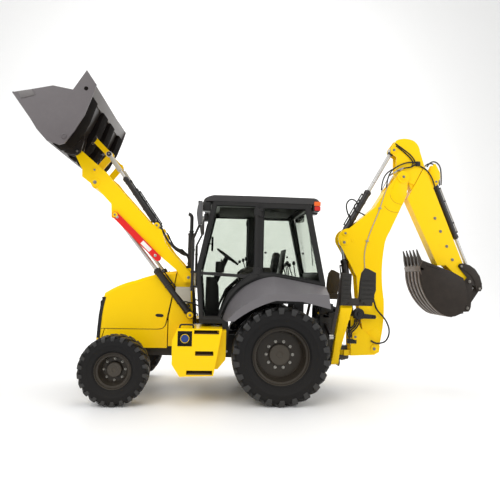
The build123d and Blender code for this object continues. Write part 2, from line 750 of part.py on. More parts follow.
# Exhaust: a silencer beside the hood and a curved tail pipe
exhaust_x = -1105
exhaust_y = -395
with BuildPart() as exhaust:
    with Locations((exhaust_x, exhaust_y, (1840 + 2320) / 2)):
        Cylinder(46, 480)
    with BuildLine() as pipe_path:
        Line((exhaust_x, exhaust_y, 2300), (exhaust_x, exhaust_y, 2540))
        TangentArc((exhaust_x, exhaust_y, 2540), (exhaust_x - 50, exhaust_y, 2600), tangent=(0, 0, 1))
    with BuildSketch(Plane.XY.offset(2300).shift_origin((exhaust_x, exhaust_y, 2300))):
        Circle(26)
    sweep(path=pipe_path.line)
    with Locations((exhaust_x, exhaust_y, tower_top + 20.5)):
        Cylinder(30, 40)
write(exhaust.part, "exhaust")

# Mirrors: a head on a bent tube that stands in front of each door post
mirror_foot = (-1062, 790)
mirror_head = (-975, 895, 2560)
mirror_bend = 2215
mirror_size = (56, 150, 310)
with BuildPart() as mirrors:
    for side in (-1, 1):
        foot = (mirror_foot[0], side * mirror_foot[1])
        neck = (mirror_head[0], side * mirror_head[1], mirror_head[2] - 150)
        with BuildLine() as tube_path:
            Polyline((*foot, 1500), (*foot, mirror_bend), neck)
        with BuildSketch(Plane.XY.offset(1500)) as tube_end:
            with Locations(foot):
                Circle(16)
        sweep(tube_end.sketch, path=tube_path.line, transition=Transition.RIGHT)
        with Locations((mirror_head[0], side * mirror_head[1], mirror_head[2])):
            Box(*mirror_size)
        for height, face_x in ((1760, -1015.5), (1560, -999.6)):
            with Locations(((mirror_foot[0] + face_x) / 2, side * 760, height)):
                Box(face_x - mirror_foot[0], 72, 30)
write(mirrors.part, "mirrors")

# Backhoe frame: front and rear walls on a common foot, with swing bearings and stabilizer pivots
frame_rear_x = leg_x[1] + side_gap + leg_plate
frame_half = 290
frame_front_x = 815
cylinder_x = leg_x[0] - 47
slot_half = 43
swing_low = (545, 625)
swing_high = (1080, 1140)
bearing_gap = 0.5
bearings = (
    (swing_low[0] - bearing_gap - 60, swing_low[0] - bearing_gap, 100),
    (swing_low[1] + bearing_gap, swing_low[1] + bearing_gap + 60, 80),
    (swing_high[0] - bearing_gap - 50, swing_high[0] - bearing_gap, 50),
    (swing_high[1] + bearing_gap, swing_high[1] + bearing_gap + 50, 50),
)
with BuildPart() as backhoe_frame:
    slab(
        ((frame_front_x, 480), (frame_rear_x, 480), (frame_rear_x, 1200),
         (cylinder_x + slot_half, 1200), (cylinder_x + slot_half, 760), (cylinder_x - slot_half, 760),
         (cylinder_x - slot_half, 1160), (frame_front_x + 20, 1160), (frame_front_x, 1100)),
        -frame_half, frame_half,
    )
    for low, high, reach in bearings:
        with BuildSketch(Plane.XY.offset(low)):
            with Locations(((frame_rear_x - 5 + swing_x) / 2, 0)):
                Rectangle(swing_x - frame_rear_x + 5, 2 * reach)
            with Locations((swing_x, 0)):
                Circle(reach)
        extrude(amount=high - low)
    for side in (-1, 1):
        for plate_x in (leg_x[0] - side_gap - leg_plate, leg_x[1] + side_gap):
            with BuildSketch(Plane.YZ.offset(plate_x)) as ear:
                with BuildLine():
                    Polyline(
                        (side * 200, 440), (side * (leg_pivot[0] + 20), 445),
                        (side * (leg_pivot[0] + 50), 490), (side * (leg_pivot[0] + 50), 560),
                        (side * (leg_pivot[0] - 10), 600), (side * 200, 760), close=True,
                    )
                make_face()
            extrude(ear.sketch, amount=leg_plate)
        with Locations(((leg_x[0] + leg_x[1]) / 2, side * leg_pivot[0], leg_pivot[1])):
            Cylinder(leg_pin_radius, leg_x[1] - leg_x[0] + 60, rotation=(0, 90, 0))
        with Locations((cylinder_x, side * leg_foot[0], leg_foot[1])):
            Cylinder(leg_base_radius, 2 * slot_half + 10, rotation=(0, 90, 0))
write(backhoe_frame.part, "backhoe_frame")

# Swing post: hinged on two upright pins, it carries the boom foot and the boom cylinder
with BuildPart() as swing_post:
    post_side = (
        (swing_x + 95, swing_low[0]), (1700, 560), (1775, 600), (1790, 690), (1740, 760),
        (1490, 960), (1410, 1140), (swing_x + 95, 1140),
    )
    for side in (-1, 1):
        slab(post_side, side * (boom_half + 8), side * (boom_half + 38))
    for low, high, reach in ((*swing_low, 78), (*swing_high, 48)):
        with BuildSketch(Plane.XY.offset(low)):
            with Locations((swing_x, 0)):
                Circle(reach)
            with Locations((swing_x + 62, 0)):
                Rectangle(125, 2 * boom_half + 30)
        extrude(amount=high - low)
    with Locations((swing_x + 140, 0, swing_high[1] - 30)):
        Box(160, 128, 80, mode=Mode.SUBTRACT)
    pin(boom_foot, boom_foot_radius, -boom_half - 43, boom_half + 43)
    pin(boom_cylinder_base, boom_pin_radius, -boom_half - 43, boom_half + 43)
write(swing_post.part, "swing_post")

# Boom: two side plates and a back web, open in front for its cylinder
boom_outline = (
    (1610, 590), (1700, 560), (1775, 600), (1790, 680), (1852, 1060, "arc"), (1858, 1400),
    (1824, 1850, "arc"), (1856, 2201), (1885, 2335, "arc"), (1940, 2450), (2091, 2771), (2209, 3029),
    (2235, 3290), (2205, 3385), (2130, 3405), (2050, 3330), (1890, 3127), (1709, 2836), (1542, 2690),
    (1300, 2487), (1150, 2400, "arc"), (1160, 2230), (1209, 2150), (1425, 1745), (1456, 1390), (1560, 700),
)
boom_pocket = (
    (1000, 2660), (1400, 2660), (1500, 2440), (1560, 2180), (1690, 1720), (1700, 1300), (1640, 880),
    (1628, 700), (1622, 400), (1000, 400),
)
with BuildPart() as boom:
    slab(boom_outline, -boom_half, boom_half)
    slab(boom_pocket, -boom_half + boom_plate, boom_half - boom_plate, mode=Mode.SUBTRACT)
    slab(
        ((1800, 3120), (2300, 3120), (2300, 3500), (1800, 3500)),
        -fork_half, fork_half, mode=Mode.SUBTRACT,
    )
    for side in (-1, 1):
        pin(boom_pin, 95, side * (fork_half + 1), side * (boom_half + 16))
    pin(boom_foot, boom_foot_radius + pin_clearance, -boom_half - 1, boom_half + 1, mode=Mode.SUBTRACT)
    for side in (-1, 1):
        pin(boom_cylinder_eye, 44, side * 66, side * boom_half)
    pin(dipper_cylinder_base, 28, -boom_half, boom_half)
    pin(boom_pin, boom_pin_radius, -boom_half, boom_half)
write(boom.part, "boom")


def cylinder_pair(label, base, eye, barrel_radius, rod_radius, neck, barrel_length, rod_from, base_pin, half):
    """A barrel on its base pin and a rod with a solid eye, in the middle plane."""
    length = hypot(eye[0] - base[0], eye[1] - base[1])
    with BuildPart() as barrel:
        pin(base, base_pin + 24, -half, half)
        bar(base, toward(base, eye, neck + 1), barrel_radius * 0.7)
        bar(toward(base, eye, neck), toward(base, eye, barrel_length), barrel_radius)
        pin(base, base_pin + pin_clearance, -half - 30, half + 30, mode=Mode.SUBTRACT)
        bar(
            toward(base, eye, neck + 15), toward(base, eye, barrel_length + 5), rod_radius + pin_clearance,
            mode=Mode.SUBTRACT,
        )
    write(barrel.part, label + "_barrel")
    with BuildPart() as rod:
        bar(toward(base, eye, rod_from), toward(base, eye, length - 20), rod_radius)
        pin(eye, rod_radius + 20, -half, half)
    write(rod.part, label + "_rod")


# Label, base, eye, barrel and rod radius, neck, barrel length, rod's inner end, base pin, half width
backhoe_cylinders = (
    ("boom_cylinder", boom_cylinder_base, boom_cylinder_eye, 56, 32, 50, 1180, 380, 34, 60),
    ("dipper_cylinder", dipper_cylinder_base, dipper_cylinder_eye, 50, 30, 45, 780, 700, 28, 56),
    ("bucket_cylinder", bucket_cylinder_base, bucket_eye, 42, 26, 40, 950, 870, 24, 36),
)
for row in backhoe_cylinders:
    cylinder_pair(*row)

# Dipper: the head on the boom pin and the inner tube that the outer section slides on
slide_dir = (0.4, -0.9165)
slide_side = (0.9165, 0.4)


def on_dipper(along, across):
    """A place along the dipper's slide from the boom pin and across it, away from the boom."""
    return (
        boom_pin[0] + along * slide_dir[0] + across * slide_side[0],
        boom_pin[1] + along * slide_dir[1] + across * slide_side[1],
    )


tube_low, tube_high = 60, 280
tube_half = 66
bore_gap = 6
pad_rise = bore_gap - 0.4
outer_half = 92
head = (
    on_dipper(70, -60), on_dipper(-30, -75), (2050, 3500), (2050, 3640), (1960, 3700), (1955, 3770),
    (2051, 3905), (2190, 3935, "arc"), (2330, 3905), (2395, 3840, "arc"), (2430, 3740),
    on_dipper(-47, 401), on_dipper(46, 290), on_dipper(176, 124), on_dipper(110, 60),
)
head_half = 84
with BuildPart() as dipper:
    slab(head, -head_half, head_half)
    for low, high, reach in ((-60, 1430, 0), (1330, 1430, pad_rise)):
        slab(
            (on_dipper(low, tube_low - reach), on_dipper(high, tube_low - reach),
             on_dipper(high, tube_high + reach), on_dipper(low, tube_high + reach)),
            -tube_half - reach, tube_half + reach,
        )
    pin(dipper_cylinder_eye, 135, -62, 62, mode=Mode.SUBTRACT)
    slab(
        ((1800, 3380), (2066, 3380), (2078, 3600), (2100, 3930), (1800, 3950)), -62, 62, mode=Mode.SUBTRACT,
    )
    pin(boom_pin, boom_pin_radius + pin_clearance, -100, 100, mode=Mode.SUBTRACT)
    for side in (-1, 1):
        pin(dipper_cylinder_eye, 44, side * (head_half - 1), side * (head_half + 4))
write(dipper.part, "dipper")

# Dipper extension: the outer box with the nose, sliding on the inner tube
with BuildPart() as extension:
    slab(
        (on_dipper(333, -60), on_dipper(60, 290), on_dipper(-33, 401), on_dipper(1623, 362),
         on_dipper(1486, -29)),
        -outer_half, outer_half,
    )
    slab(
        (on_dipper(-100, tube_low - bore_gap), on_dipper(1700, tube_low - bore_gap),
         on_dipper(1700, tube_high + bore_gap), on_dipper(-100, tube_high + bore_gap)),
        -tube_half - bore_gap, tube_half + bore_gap, mode=Mode.SUBTRACT,
    )
    for side in (-1, 1):
        slab(
            (on_dipper(1440, 60), on_dipper(1440, 330), on_dipper(1700, 355), on_dipper(1890, 395),
             on_dipper(1960, 350), on_dipper(1960, 290), on_dipper(1900, 250)),
            side * 74, side * outer_half,
        )
        slab(
            (on_dipper(100, 380), on_dipper(200, 510), on_dipper(260, 535), on_dipper(310, 510),
             on_dipper(340, 380)),
            side * 42, side * 60,
        )
        for along in (590, 790, 1000, 1200):
            pin(on_dipper(along, 130), 14, side * (outer_half - 1), side * (outer_half + 5))
    pin(bucket_pivot, 32, -outer_half, outer_half)
    pin(guide_pin, 26, -outer_half - 26, -74)
    pin(guide_pin, 26, 74, outer_half + 26)
    pin(bucket_cylinder_base, 24, -60, 60)
write(extension.part, "dipper_extension")

# Bucket linkage: guide links outside, one bucket link inside
with BuildPart() as guide:
    for side in (-1, 1):
        link_bar(guide_pin, bucket_eye, 70, side * 98, side * 116)
        pin(guide_pin, 26.3, side * 90, side * 120, mode=Mode.SUBTRACT)
        pin(bucket_eye, 26, side * 41, side * 116)
write(guide.part, "bucket_guide_links")
with BuildPart() as bucket_link:
    for side in (-1, 1):
        link_bar(bucket_eye, dig_bucket_pin, 86, side * 42, side * 66)
        pin(bucket_eye, 26.3, side * 30, side * 80, mode=Mode.SUBTRACT)
    pin(dig_bucket_pin, 26, -42, 42)
write(bucket_link.part, "bucket_link")

# Backhoe bucket: side plates, a wrapped shell, teeth and the two pin ears
dig_side = (
    (2395, 2010), (2852, 1851), (3030, 1760), (3080, 1600), (3094, 1440, "arc"), (3020, 1230),
    (2900, 1175), (2795, 1175, "arc"), (2696, 1209), (2463, 1446, "arc"), (2350, 1900),
)
dig_shell = (
    (2395, 2010), (2350, 1900), (2463, 1446, "arc"), (2696, 1209), (2795, 1175, "arc"), (2900, 1175),
    (3020, 1230), (3094, 1440, "arc"), (3080, 1600), (3060, 1600), (3074, 1440, "arc"), (3007, 1246),
    (2896, 1195), (2798, 1195, "arc"), (2706, 1227), (2482, 1456, "arc"), (2372, 1902), (2410, 2000),
)
ear_near, ear_far = 126, 148
with BuildPart() as dig_bucket:
    slab(dig_shell, -dig_bucket_half, dig_bucket_half)
    for side in (-1, 1):
        slab(dig_side, side * (dig_bucket_half - 18), side * dig_bucket_half)
        slab(
            ((3065, 1600), (3140, 1740), (3190, 1765), (3245, 1750), (3262, 1700), (3230, 1320),
             (3190, 1240), (3100, 1235), (3012, 1228), (3080, 1440)),
            side * ear_near, side * ear_far,
        )
    for y in (-270, -135, 0, 135, 270):
        slab(((2350, 1880), (2395, 2010), (2330, 2180), (2310, 2170)), y - 28, y + 28)
    for side in (-1, 1):
        pin(bucket_pivot, 21, side * (outer_half + 0.4), side * ear_far)
        pin(dig_bucket_pin, 26, side * 72, side * ear_far)
write(dig_bucket.part, "dig_bucket")

# Stabilizers: a leg on each side of the frame with its foot pad, and its cylinder in front
leg_mid_x = (leg_x[0] + leg_x[1]) / 2
leg_run = hypot(leg_eye[0] - leg_foot[0], leg_eye[1] - leg_foot[1])
leg_barrel_end = 560
# Each pad's X from and to and Z from and to
pads = (
    (985, 1147, 1334, 1789),
    (1247, 1440, 1342, 1861),
)


def across_bar(start, end, radius, side, begin, finish, mode=Mode.ADD):
    """A round bar in the plane of a stabilizer cylinder, between two distances along it."""
    run = hypot(end[0] - start[0], end[1] - start[1])
    direction = ((end[0] - start[0]) / run, (end[1] - start[1]) / run)
    origin = (cylinder_x, side * (start[0] + direction[0] * begin), start[1] + direction[1] * begin)
    plane = Plane(origin=origin, x_dir=(1, 0, 0), z_dir=(0, side * direction[0], direction[1]))
    with BuildSketch(plane) as end_face:
        Circle(radius)
    extrude(end_face.sketch, amount=finish - begin, mode=mode)


for side_name, side in (("left", -1), ("right", 1)):
    with BuildPart() as leg:
        with BuildSketch(Plane.YZ.offset(leg_x[0])):
            with BuildLine():
                Polyline(
                    (side * (leg_pivot[0] - 55), leg_pivot[1] - 20), (side * leg_pivot[0], leg_pivot[1] - 60),
                    (side * (leg_pivot[0] + 60), leg_pivot[1] - 10),
                    (side * (leg_top[0] + 55), leg_top[1] - 30), (side * (leg_top[0] - 30), leg_top[1] + 30),
                    close=True,
                )
            make_face()
        extrude(amount=leg_x[1] - leg_x[0])
        with Locations((leg_mid_x, side * leg_pivot[0], leg_pivot[1])):
            Cylinder(leg_pin_radius + pin_clearance, 200, rotation=(0, 90, 0), mode=Mode.SUBTRACT)
        with Locations((leg_x[0] - 6, side * leg_eye[0], leg_eye[1])):
            Cylinder(34, 12, rotation=(0, 90, 0))
        for x_from, x_to, z_from, z_to in pads:
            with Locations(((x_from + x_to) / 2, side * (leg_top[0] + 110), (z_from + z_to) / 2)):
                Box(x_to - x_from, 50, z_to - z_from)
        with Locations(((985 + 1440) / 2, side * (leg_top[0] + 60), 1380)):
            Box(455, 60, 130)
    write(leg.part, f"{side_name}_stabilizer")
    with BuildPart() as leg_barrel:
        across_bar(leg_foot, leg_eye, leg_eye_radius, side, 30, leg_barrel_end)
        with Locations((cylinder_x, side * leg_foot[0], leg_foot[1])):
            Cylinder(leg_eye_radius, 60, rotation=(0, 90, 0))
            Cylinder(leg_base_radius + pin_clearance, 80, rotation=(0, 90, 0), mode=Mode.SUBTRACT)
        across_bar(
            leg_foot, leg_eye, leg_rod_radius + pin_clearance, side, 50, leg_barrel_end + 2,
            mode=Mode.SUBTRACT,
        )
    write(leg_barrel.part, f"{side_name}_stabilizer_barrel")
    with BuildPart() as leg_rod:
        across_bar(leg_foot, leg_eye, leg_rod_radius, side, 56, leg_run - 20)
        with Locations((cylinder_x, side * leg_eye[0], leg_eye[1])):
            Cylinder(leg_eye_radius, 60, rotation=(0, 90, 0))
    write(leg_rod.part, f"{side_name}_stabilizer_rod")
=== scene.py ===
# Backhoe loader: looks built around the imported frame. Metres, +X to the backhoe, -Y the left side.
import math

import bmesh
import bpy
from mathutils import Matrix, Vector


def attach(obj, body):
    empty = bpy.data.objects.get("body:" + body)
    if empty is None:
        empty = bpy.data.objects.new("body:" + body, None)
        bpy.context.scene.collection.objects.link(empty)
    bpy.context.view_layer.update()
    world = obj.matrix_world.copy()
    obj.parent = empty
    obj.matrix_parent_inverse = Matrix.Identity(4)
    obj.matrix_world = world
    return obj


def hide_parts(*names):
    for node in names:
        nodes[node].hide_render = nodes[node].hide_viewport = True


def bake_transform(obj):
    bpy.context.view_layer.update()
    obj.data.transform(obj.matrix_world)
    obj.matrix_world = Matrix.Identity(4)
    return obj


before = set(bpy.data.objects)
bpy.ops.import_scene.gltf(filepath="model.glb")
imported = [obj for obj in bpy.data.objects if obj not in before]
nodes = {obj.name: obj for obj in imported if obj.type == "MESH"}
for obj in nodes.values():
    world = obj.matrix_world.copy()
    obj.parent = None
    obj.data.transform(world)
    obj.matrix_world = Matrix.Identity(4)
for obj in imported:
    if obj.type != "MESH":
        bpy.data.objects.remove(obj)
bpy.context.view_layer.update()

# The studio: a pale floor that curves up behind the machine and a soft white surround. A large key light
# stands in front on the left, a fill on the right, and wide lights hang over the machine and the backdrop.
floor_half = 40.0
floor_back = 9.0
floor_curve = 6.0
floor_wall = 16.0
scene = bpy.context.scene
scene.view_settings.view_transform = "Standard"


def stage_floor():
    bm = bmesh.new()
    profile = [(-floor_half, 0.0), (floor_back, 0.0)]
    for step in range(1, 13):
        turn = math.radians(90 * step / 12)
        profile.append((floor_back + floor_curve * math.sin(turn), floor_curve * (1 - math.cos(turn))))
    profile.append((floor_back + floor_curve, floor_wall))
    rows = [[bm.verts.new((x, y, z)) for y, z in profile] for x in (-floor_half, floor_half)]
    for i in range(len(profile) - 1):
        bm.faces.new((rows[0][i], rows[1][i], rows[1][i + 1], rows[0][i + 1]))
    mesh = bpy.data.meshes.new("floor")
    bm.to_mesh(mesh)
    bm.free()
    mesh.shade_smooth()
    pale = bpy.data.materials.new("pale_floor")
    pale.use_nodes = True
    shader = pale.node_tree.nodes["Principled BSDF"]
    shader.inputs["Base Color"].default_value = (0.93, 0.93, 0.925, 1)
    shader.inputs["Roughness"].default_value = 0.45
    shader.inputs["Specular IOR Level"].default_value = 0.25
    mesh.materials.append(pale)
    floor = bpy.data.objects.new("floor", mesh)
    scene.collection.objects.link(floor)


stage_floor()
world = bpy.data.worlds.new("surround")
scene.world = world
world.use_nodes = True
background = world.node_tree.nodes["Background"]
background.inputs["Color"].default_value = (1.0, 1.0, 1.0, 1)
background.inputs["Strength"].default_value = 0.72
for name, place, target, size, energy in (
    ("key_light", (-7.0, -9.0, 9.5), (-0.5, 0, 1.2), 7.0, 620),
    ("top_light", (1.0, 1.0, 11.0), (0.0, 0, 1.0), 9.0, 520),
    ("fill_light", (9.0, -8.0, 5.0), (0.5, 0, 1.5), 6.0, 240),
    ("backdrop_light", (0.0, 5.0, 9.0), (0.0, 14.5, 4.0), 9.0, 900),
):
    lamp = bpy.data.lights.new(name, "AREA")
    lamp.energy = energy
    lamp.size = size
    holder = bpy.data.objects.new(name, lamp)
    holder.location = place
    holder.rotation_euler = (Vector(target) - Vector(place)).to_track_quat("-Z", "Y").to_euler()
    scene.collection.objects.link(holder)

# The camera stands on the machine's left, a little ahead of the rear wheel and level with the fender's top.
# Its place, lens and angles were fitted to the photograph.
camera_place = Vector((-0.8009, -7.6823, 1.728))
camera_yaw = 0.0754
camera_pitch = 0.0507
camera_roll = 0.022
camera_data = bpy.data.cameras.new("camera")
camera_data.lens = 36.08
camera_data.sensor_width = 36.0
camera = bpy.data.objects.new("camera", camera_data)
ahead = Vector((
    math.sin(camera_yaw) * math.cos(camera_pitch), math.cos(camera_yaw) * math.cos(camera_pitch),
    math.sin(camera_pitch),
))
level = Vector((math.cos(camera_yaw), -math.sin(camera_yaw), 0))
upward = level.cross(ahead)
right = level * math.cos(camera_roll) + upward * math.sin(camera_roll)
upright = upward * math.cos(camera_roll) - level * math.sin(camera_roll)
camera.matrix_world = Matrix((
    (right.x, upright.x, -ahead.x, camera_place.x),
    (right.y, upright.y, -ahead.y, camera_place.y),
    (right.z, upright.z, -ahead.z, camera_place.z),
    (0, 0, 0, 1),
))
scene.collection.objects.link(camera)
scene.camera = camera


# Chassis: welded steel rails, the axles, the steered knuckles and the engine block, all in black enamel.
# Below them hang the cast gearbox and its propeller shaft; the steering ram is bolted behind the front axle.
def new_group(name, takes, gives):
    tree = bpy.data.node_groups.new(name, "ShaderNodeTree")
    for kind, label, value in takes:
        socket = tree.interface.new_socket(name=label, in_out="INPUT", socket_type=kind)
        if value is not None:
            socket.default_value = value
    for kind, label in gives:
        tree.interface.new_socket(name=label, in_out="OUTPUT", socket_type=kind)
    return tree, tree.nodes.new("NodeGroupInput"), tree.nodes.new("NodeGroupOutput")


def math_node(tree, operation, first, second=None, clamp=False):
    node = tree.nodes.new("ShaderNodeMath")
    node.operation = operation
    node.use_clamp = clamp
    for socket, value in zip(node.inputs, (first, second)):
        if isinstance(value, (int, float)):
            socket.default_value = value
        elif value is not None:
            tree.links.new(value, socket)
    return node.outputs[0]


def noise_node(tree, position, scale, detail=4.0, roughness=0.55):
    node = tree.nodes.new("ShaderNodeTexNoise")
    node.inputs["Detail"].default_value = detail
    node.inputs["Roughness"].default_value = roughness
    tree.links.new(position, node.inputs["Vector"])
    if isinstance(scale, (int, float)):
        node.inputs["Scale"].default_value = scale
    else:
        tree.links.new(scale, node.inputs["Scale"])
    return node.outputs["Fac"]


def mix_colour(tree, share, first, second, kind="MIX"):
    node = tree.nodes.new("ShaderNodeMix")
    node.data_type = "RGBA"
    node.blend_type = kind
    for socket, value in ((node.inputs[0], share), (node.inputs[6], first), (node.inputs[7], second)):
        if isinstance(value, (tuple, int, float)):
            socket.default_value = value
        else:
            tree.links.new(value, socket)
    return node.outputs[2]


def weathering_group():
    """Mottles a finish, gathers dust low on the machine and roughens both."""
    tree, given, made = new_group(
        "weathering",
        (
            ("NodeSocketColor", "Finish", (0.5, 0.5, 0.5, 1)), ("NodeSocketColor", "Worn", (0.4, 0.4, 0.4, 1)),
            ("NodeSocketColor", "Dust", (0.45, 0.4, 0.33, 1)), ("NodeSocketFloat", "Wear share", 0.3),
            ("NodeSocketFloat", "Dust share", 0.2), ("NodeSocketFloat", "Dust height", 1.0),
            ("NodeSocketFloat", "Patch scale", 6.0), ("NodeSocketFloat", "Gloss", 0.4),
            ("NodeSocketFloat", "Grain scale", 400.0),
        ),
        (("NodeSocketColor", "Colour"), ("NodeSocketFloat", "Roughness"), ("NodeSocketFloat", "Height")),
    )
    speck_share, patch_floor, patch_contrast, dust_floor = 9.0, 0.42, 4.0, 0.35
    worn_roughness, dust_roughness, speck_height = 0.35, 0.5, 0.6
    place = tree.nodes.new("ShaderNodeTexCoord").outputs["Object"]
    split = tree.nodes.new("ShaderNodeSeparateXYZ")
    tree.links.new(place, split.inputs[0])
    patches = noise_node(tree, place, given.outputs["Patch scale"], 6.0, 0.6)
    specks = noise_node(tree, place, math_node(tree, "MULTIPLY", given.outputs["Patch scale"], speck_share), 5.0,
                        0.7)
    spread = math_node(tree, "MULTIPLY", math_node(tree, "SUBTRACT", patches, patch_floor), patch_contrast, True)
    worn = math_node(tree, "MULTIPLY", math_node(tree, "MULTIPLY", spread, specks), given.outputs["Wear share"],
                     True)
    low = math_node(tree, "SUBTRACT", 1.0, math_node(tree, "DIVIDE", split.outputs["Z"],
        given.outputs["Dust height"]), True)
    settled = math_node(tree, "MULTIPLY", low, math_node(tree, "ADD", specks, dust_floor))
    dusty = math_node(tree, "MULTIPLY", settled, given.outputs["Dust share"], True)
    colour = mix_colour(tree, worn, given.outputs["Finish"], given.outputs["Worn"])
    colour = mix_colour(tree, dusty, colour, given.outputs["Dust"])
    duller = math_node(tree, "ADD", math_node(tree, "MULTIPLY", worn, worn_roughness),
                       math_node(tree, "MULTIPLY", dusty, dust_roughness))
    rough = math_node(tree, "ADD", given.outputs["Gloss"], duller, True)
    grain = noise_node(tree, place, given.outputs["Grain scale"], 2.0, 0.5)
    tree.links.new(colour, made.inputs["Colour"])
    tree.links.new(rough, made.inputs["Roughness"])
    tree.links.new(math_node(tree, "ADD", grain, math_node(tree, "MULTIPLY", specks, speck_height)),
                   made.inputs["Height"])
    return tree


weathering = weathering_group()
bump_distance = 0.002
coat_roughness = 0.12


def finish_of(name, colour, worn, gloss, wear=0.3, dust=0.15, dust_height=1.0, patch=5.0, grain=420.0,
              bump=0.04, metallic=0.0, coat=0.0, dust_colour=(0.36, 0.31, 0.25), specular=0.35):
    """A weathered material; its even values sit on the shader's own sockets."""
    material = bpy.data.materials.new(name)
    material.use_nodes = True
    tree = material.node_tree
    shader = tree.nodes["Principled BSDF"]
    group = tree.nodes.new("ShaderNodeGroup")
    group.node_tree = weathering
    for label, value in (
        ("Finish", (*colour, 1)), ("Worn", (*worn, 1)), ("Dust", (*dust_colour, 1)), ("Wear share", wear),
        ("Dust share", dust), ("Dust height", dust_height), ("Patch scale", patch), ("Gloss", gloss),
        ("Grain scale", grain),
    ):
        group.inputs[label].default_value = value
    tree.links.new(group.outputs["Colour"], shader.inputs["Base Color"])
    tree.links.new(group.outputs["Roughness"], shader.inputs["Roughness"])
    height = tree.nodes.new("ShaderNodeBump")
    height.inputs["Strength"].default_value = bump
    height.inputs["Distance"].default_value = bump_distance
    tree.links.new(group.outputs["Height"], height.inputs["Height"])
    tree.links.new(height.outputs["Normal"], shader.inputs["Normal"])
    for label, value in (("Metallic", metallic), ("Coat Weight", coat), ("Coat Roughness", coat_roughness),
                         ("Specular IOR Level", specular)):
        shader.inputs[label].default_value = value
    return material


def finish_nodes(material, *names):
    for name in names:
        nodes[name].data.materials.clear()
        nodes[name].data.materials.append(material)


def add_prism(bm, near_places, far_places, bevel=0.0):
    """A closed solid between two outlines with as many corners."""
    near = [bm.verts.new(place) for place in near_places]
    far = [bm.verts.new(place) for place in far_places]
    made = [bm.faces.new(near), bm.faces.new(far[::-1])]
    for i in range(len(near)):
        j = (i + 1) % len(near)
        made.append(bm.faces.new((near[j], near[i], far[i], far[j])))
    bmesh.ops.recalc_face_normals(bm, faces=made)
    if bevel:
        edges = list({e for f in made for e in f.edges})
        bmesh.ops.bevel(bm, geom=edges, offset=bevel, segments=2, profile=0.6, affect="EDGES", clamp_overlap=True)


def add_plate(bm, outline, y_from, y_to, bevel=0.0):
    """A plate whose outline holds X, Z pairs and which runs across the machine."""
    add_prism(bm, [(x, y_from, z) for x, z in outline], [(x, y_to, z) for x, z in outline], bevel)


def add_block(bm, low, high, bevel=0.0):
    """A block between two corners; its Y values may come in either order."""
    outline = ((low[0], low[2]), (high[0], low[2]), (high[0], high[2]), (low[0], high[2]))
    add_plate(bm, outline, *sorted((low[1], high[1])), bevel)


def add_turned(bm, profile, centre, axis="Y", segments=32, side=1):
    """A closed solid of revolution; the profile holds (along the axis, radius) pairs from end to end."""
    frames = {
        "X": (Vector((side, 0, 0)), Vector((0, 1, 0)), Vector((0, 0, 1))),
        "Y": (Vector((0, side, 0)), Vector((0, 0, 1)), Vector((1, 0, 0))),
        "Z": (Vector((0, 0, side)), Vector((1, 0, 0)), Vector((0, 1, 0))),
    }
    along, first, second = frames[axis] if isinstance(axis, str) else axis
    rings, made = [], []
    for run, radius in profile:
        middle = Vector(centre) + along * run
        if radius < 1e-6:
            rings.append([bm.verts.new(middle)])
            continue
        rings.append([
            bm.verts.new(middle + first * radius * math.cos(2 * math.pi * k / segments)
                         + second * radius * math.sin(2 * math.pi * k / segments))
            for k in range(segments)
        ])
    for a, b in zip(rings, rings[1:]):
        for k in range(segments):
            n = (k + 1) % segments
            corners = [a[k % len(a)], a[n % len(a)], b[n % len(b)], b[k % len(b)]]
            corners = [c for i, c in enumerate(corners) if c not in corners[:i]]
            if len(corners) > 2:
                made.append(bm.faces.new(corners))
    for ring in (rings[0], rings[-1]):
        if len(ring) > 1:
            made.append(bm.faces.new(ring))
    bmesh.ops.recalc_face_normals(bm, faces=made)


def add_rod(bm, start, end, radius, segments=14, end_radius=None):
    """A straight round bar between two places."""
    start, end = Vector(start), Vector(end)
    along = (end - start).normalized()
    first = along.orthogonal().normalized()
    add_turned(bm, ((0, radius), ((end - start).length, end_radius or radius)), start,
               (along, first, along.cross(first)), segments)


def mesh_from(bm, name):
    mesh = bpy.data.meshes.new(name)
    bm.to_mesh(mesh)
    bm.free()
    return mesh


def plain_mesh(host):
    """The host's mesh with its modifiers or curve settings worked in."""
    return bpy.data.meshes.new_from_object(host.evaluated_get(bpy.context.evaluated_depsgraph_get()))


def put_mesh(mesh, name, body, sharp=None):
    mesh.shade_smooth()
    if sharp is not None:
        mesh.set_sharp_from_angle(angle=sharp)
    piece = bpy.data.objects.new(name, mesh)
    scene.collection.objects.link(piece)
    if body:
        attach(piece, body)
    return piece


def put(bm, name, body, material, sharp=0.5):
    """Turns a bmesh into a named piece that rides on a body."""
    mesh = mesh_from(bm, name)
    mesh.materials.append(material)
    return put_mesh(mesh, name, body, sharp)


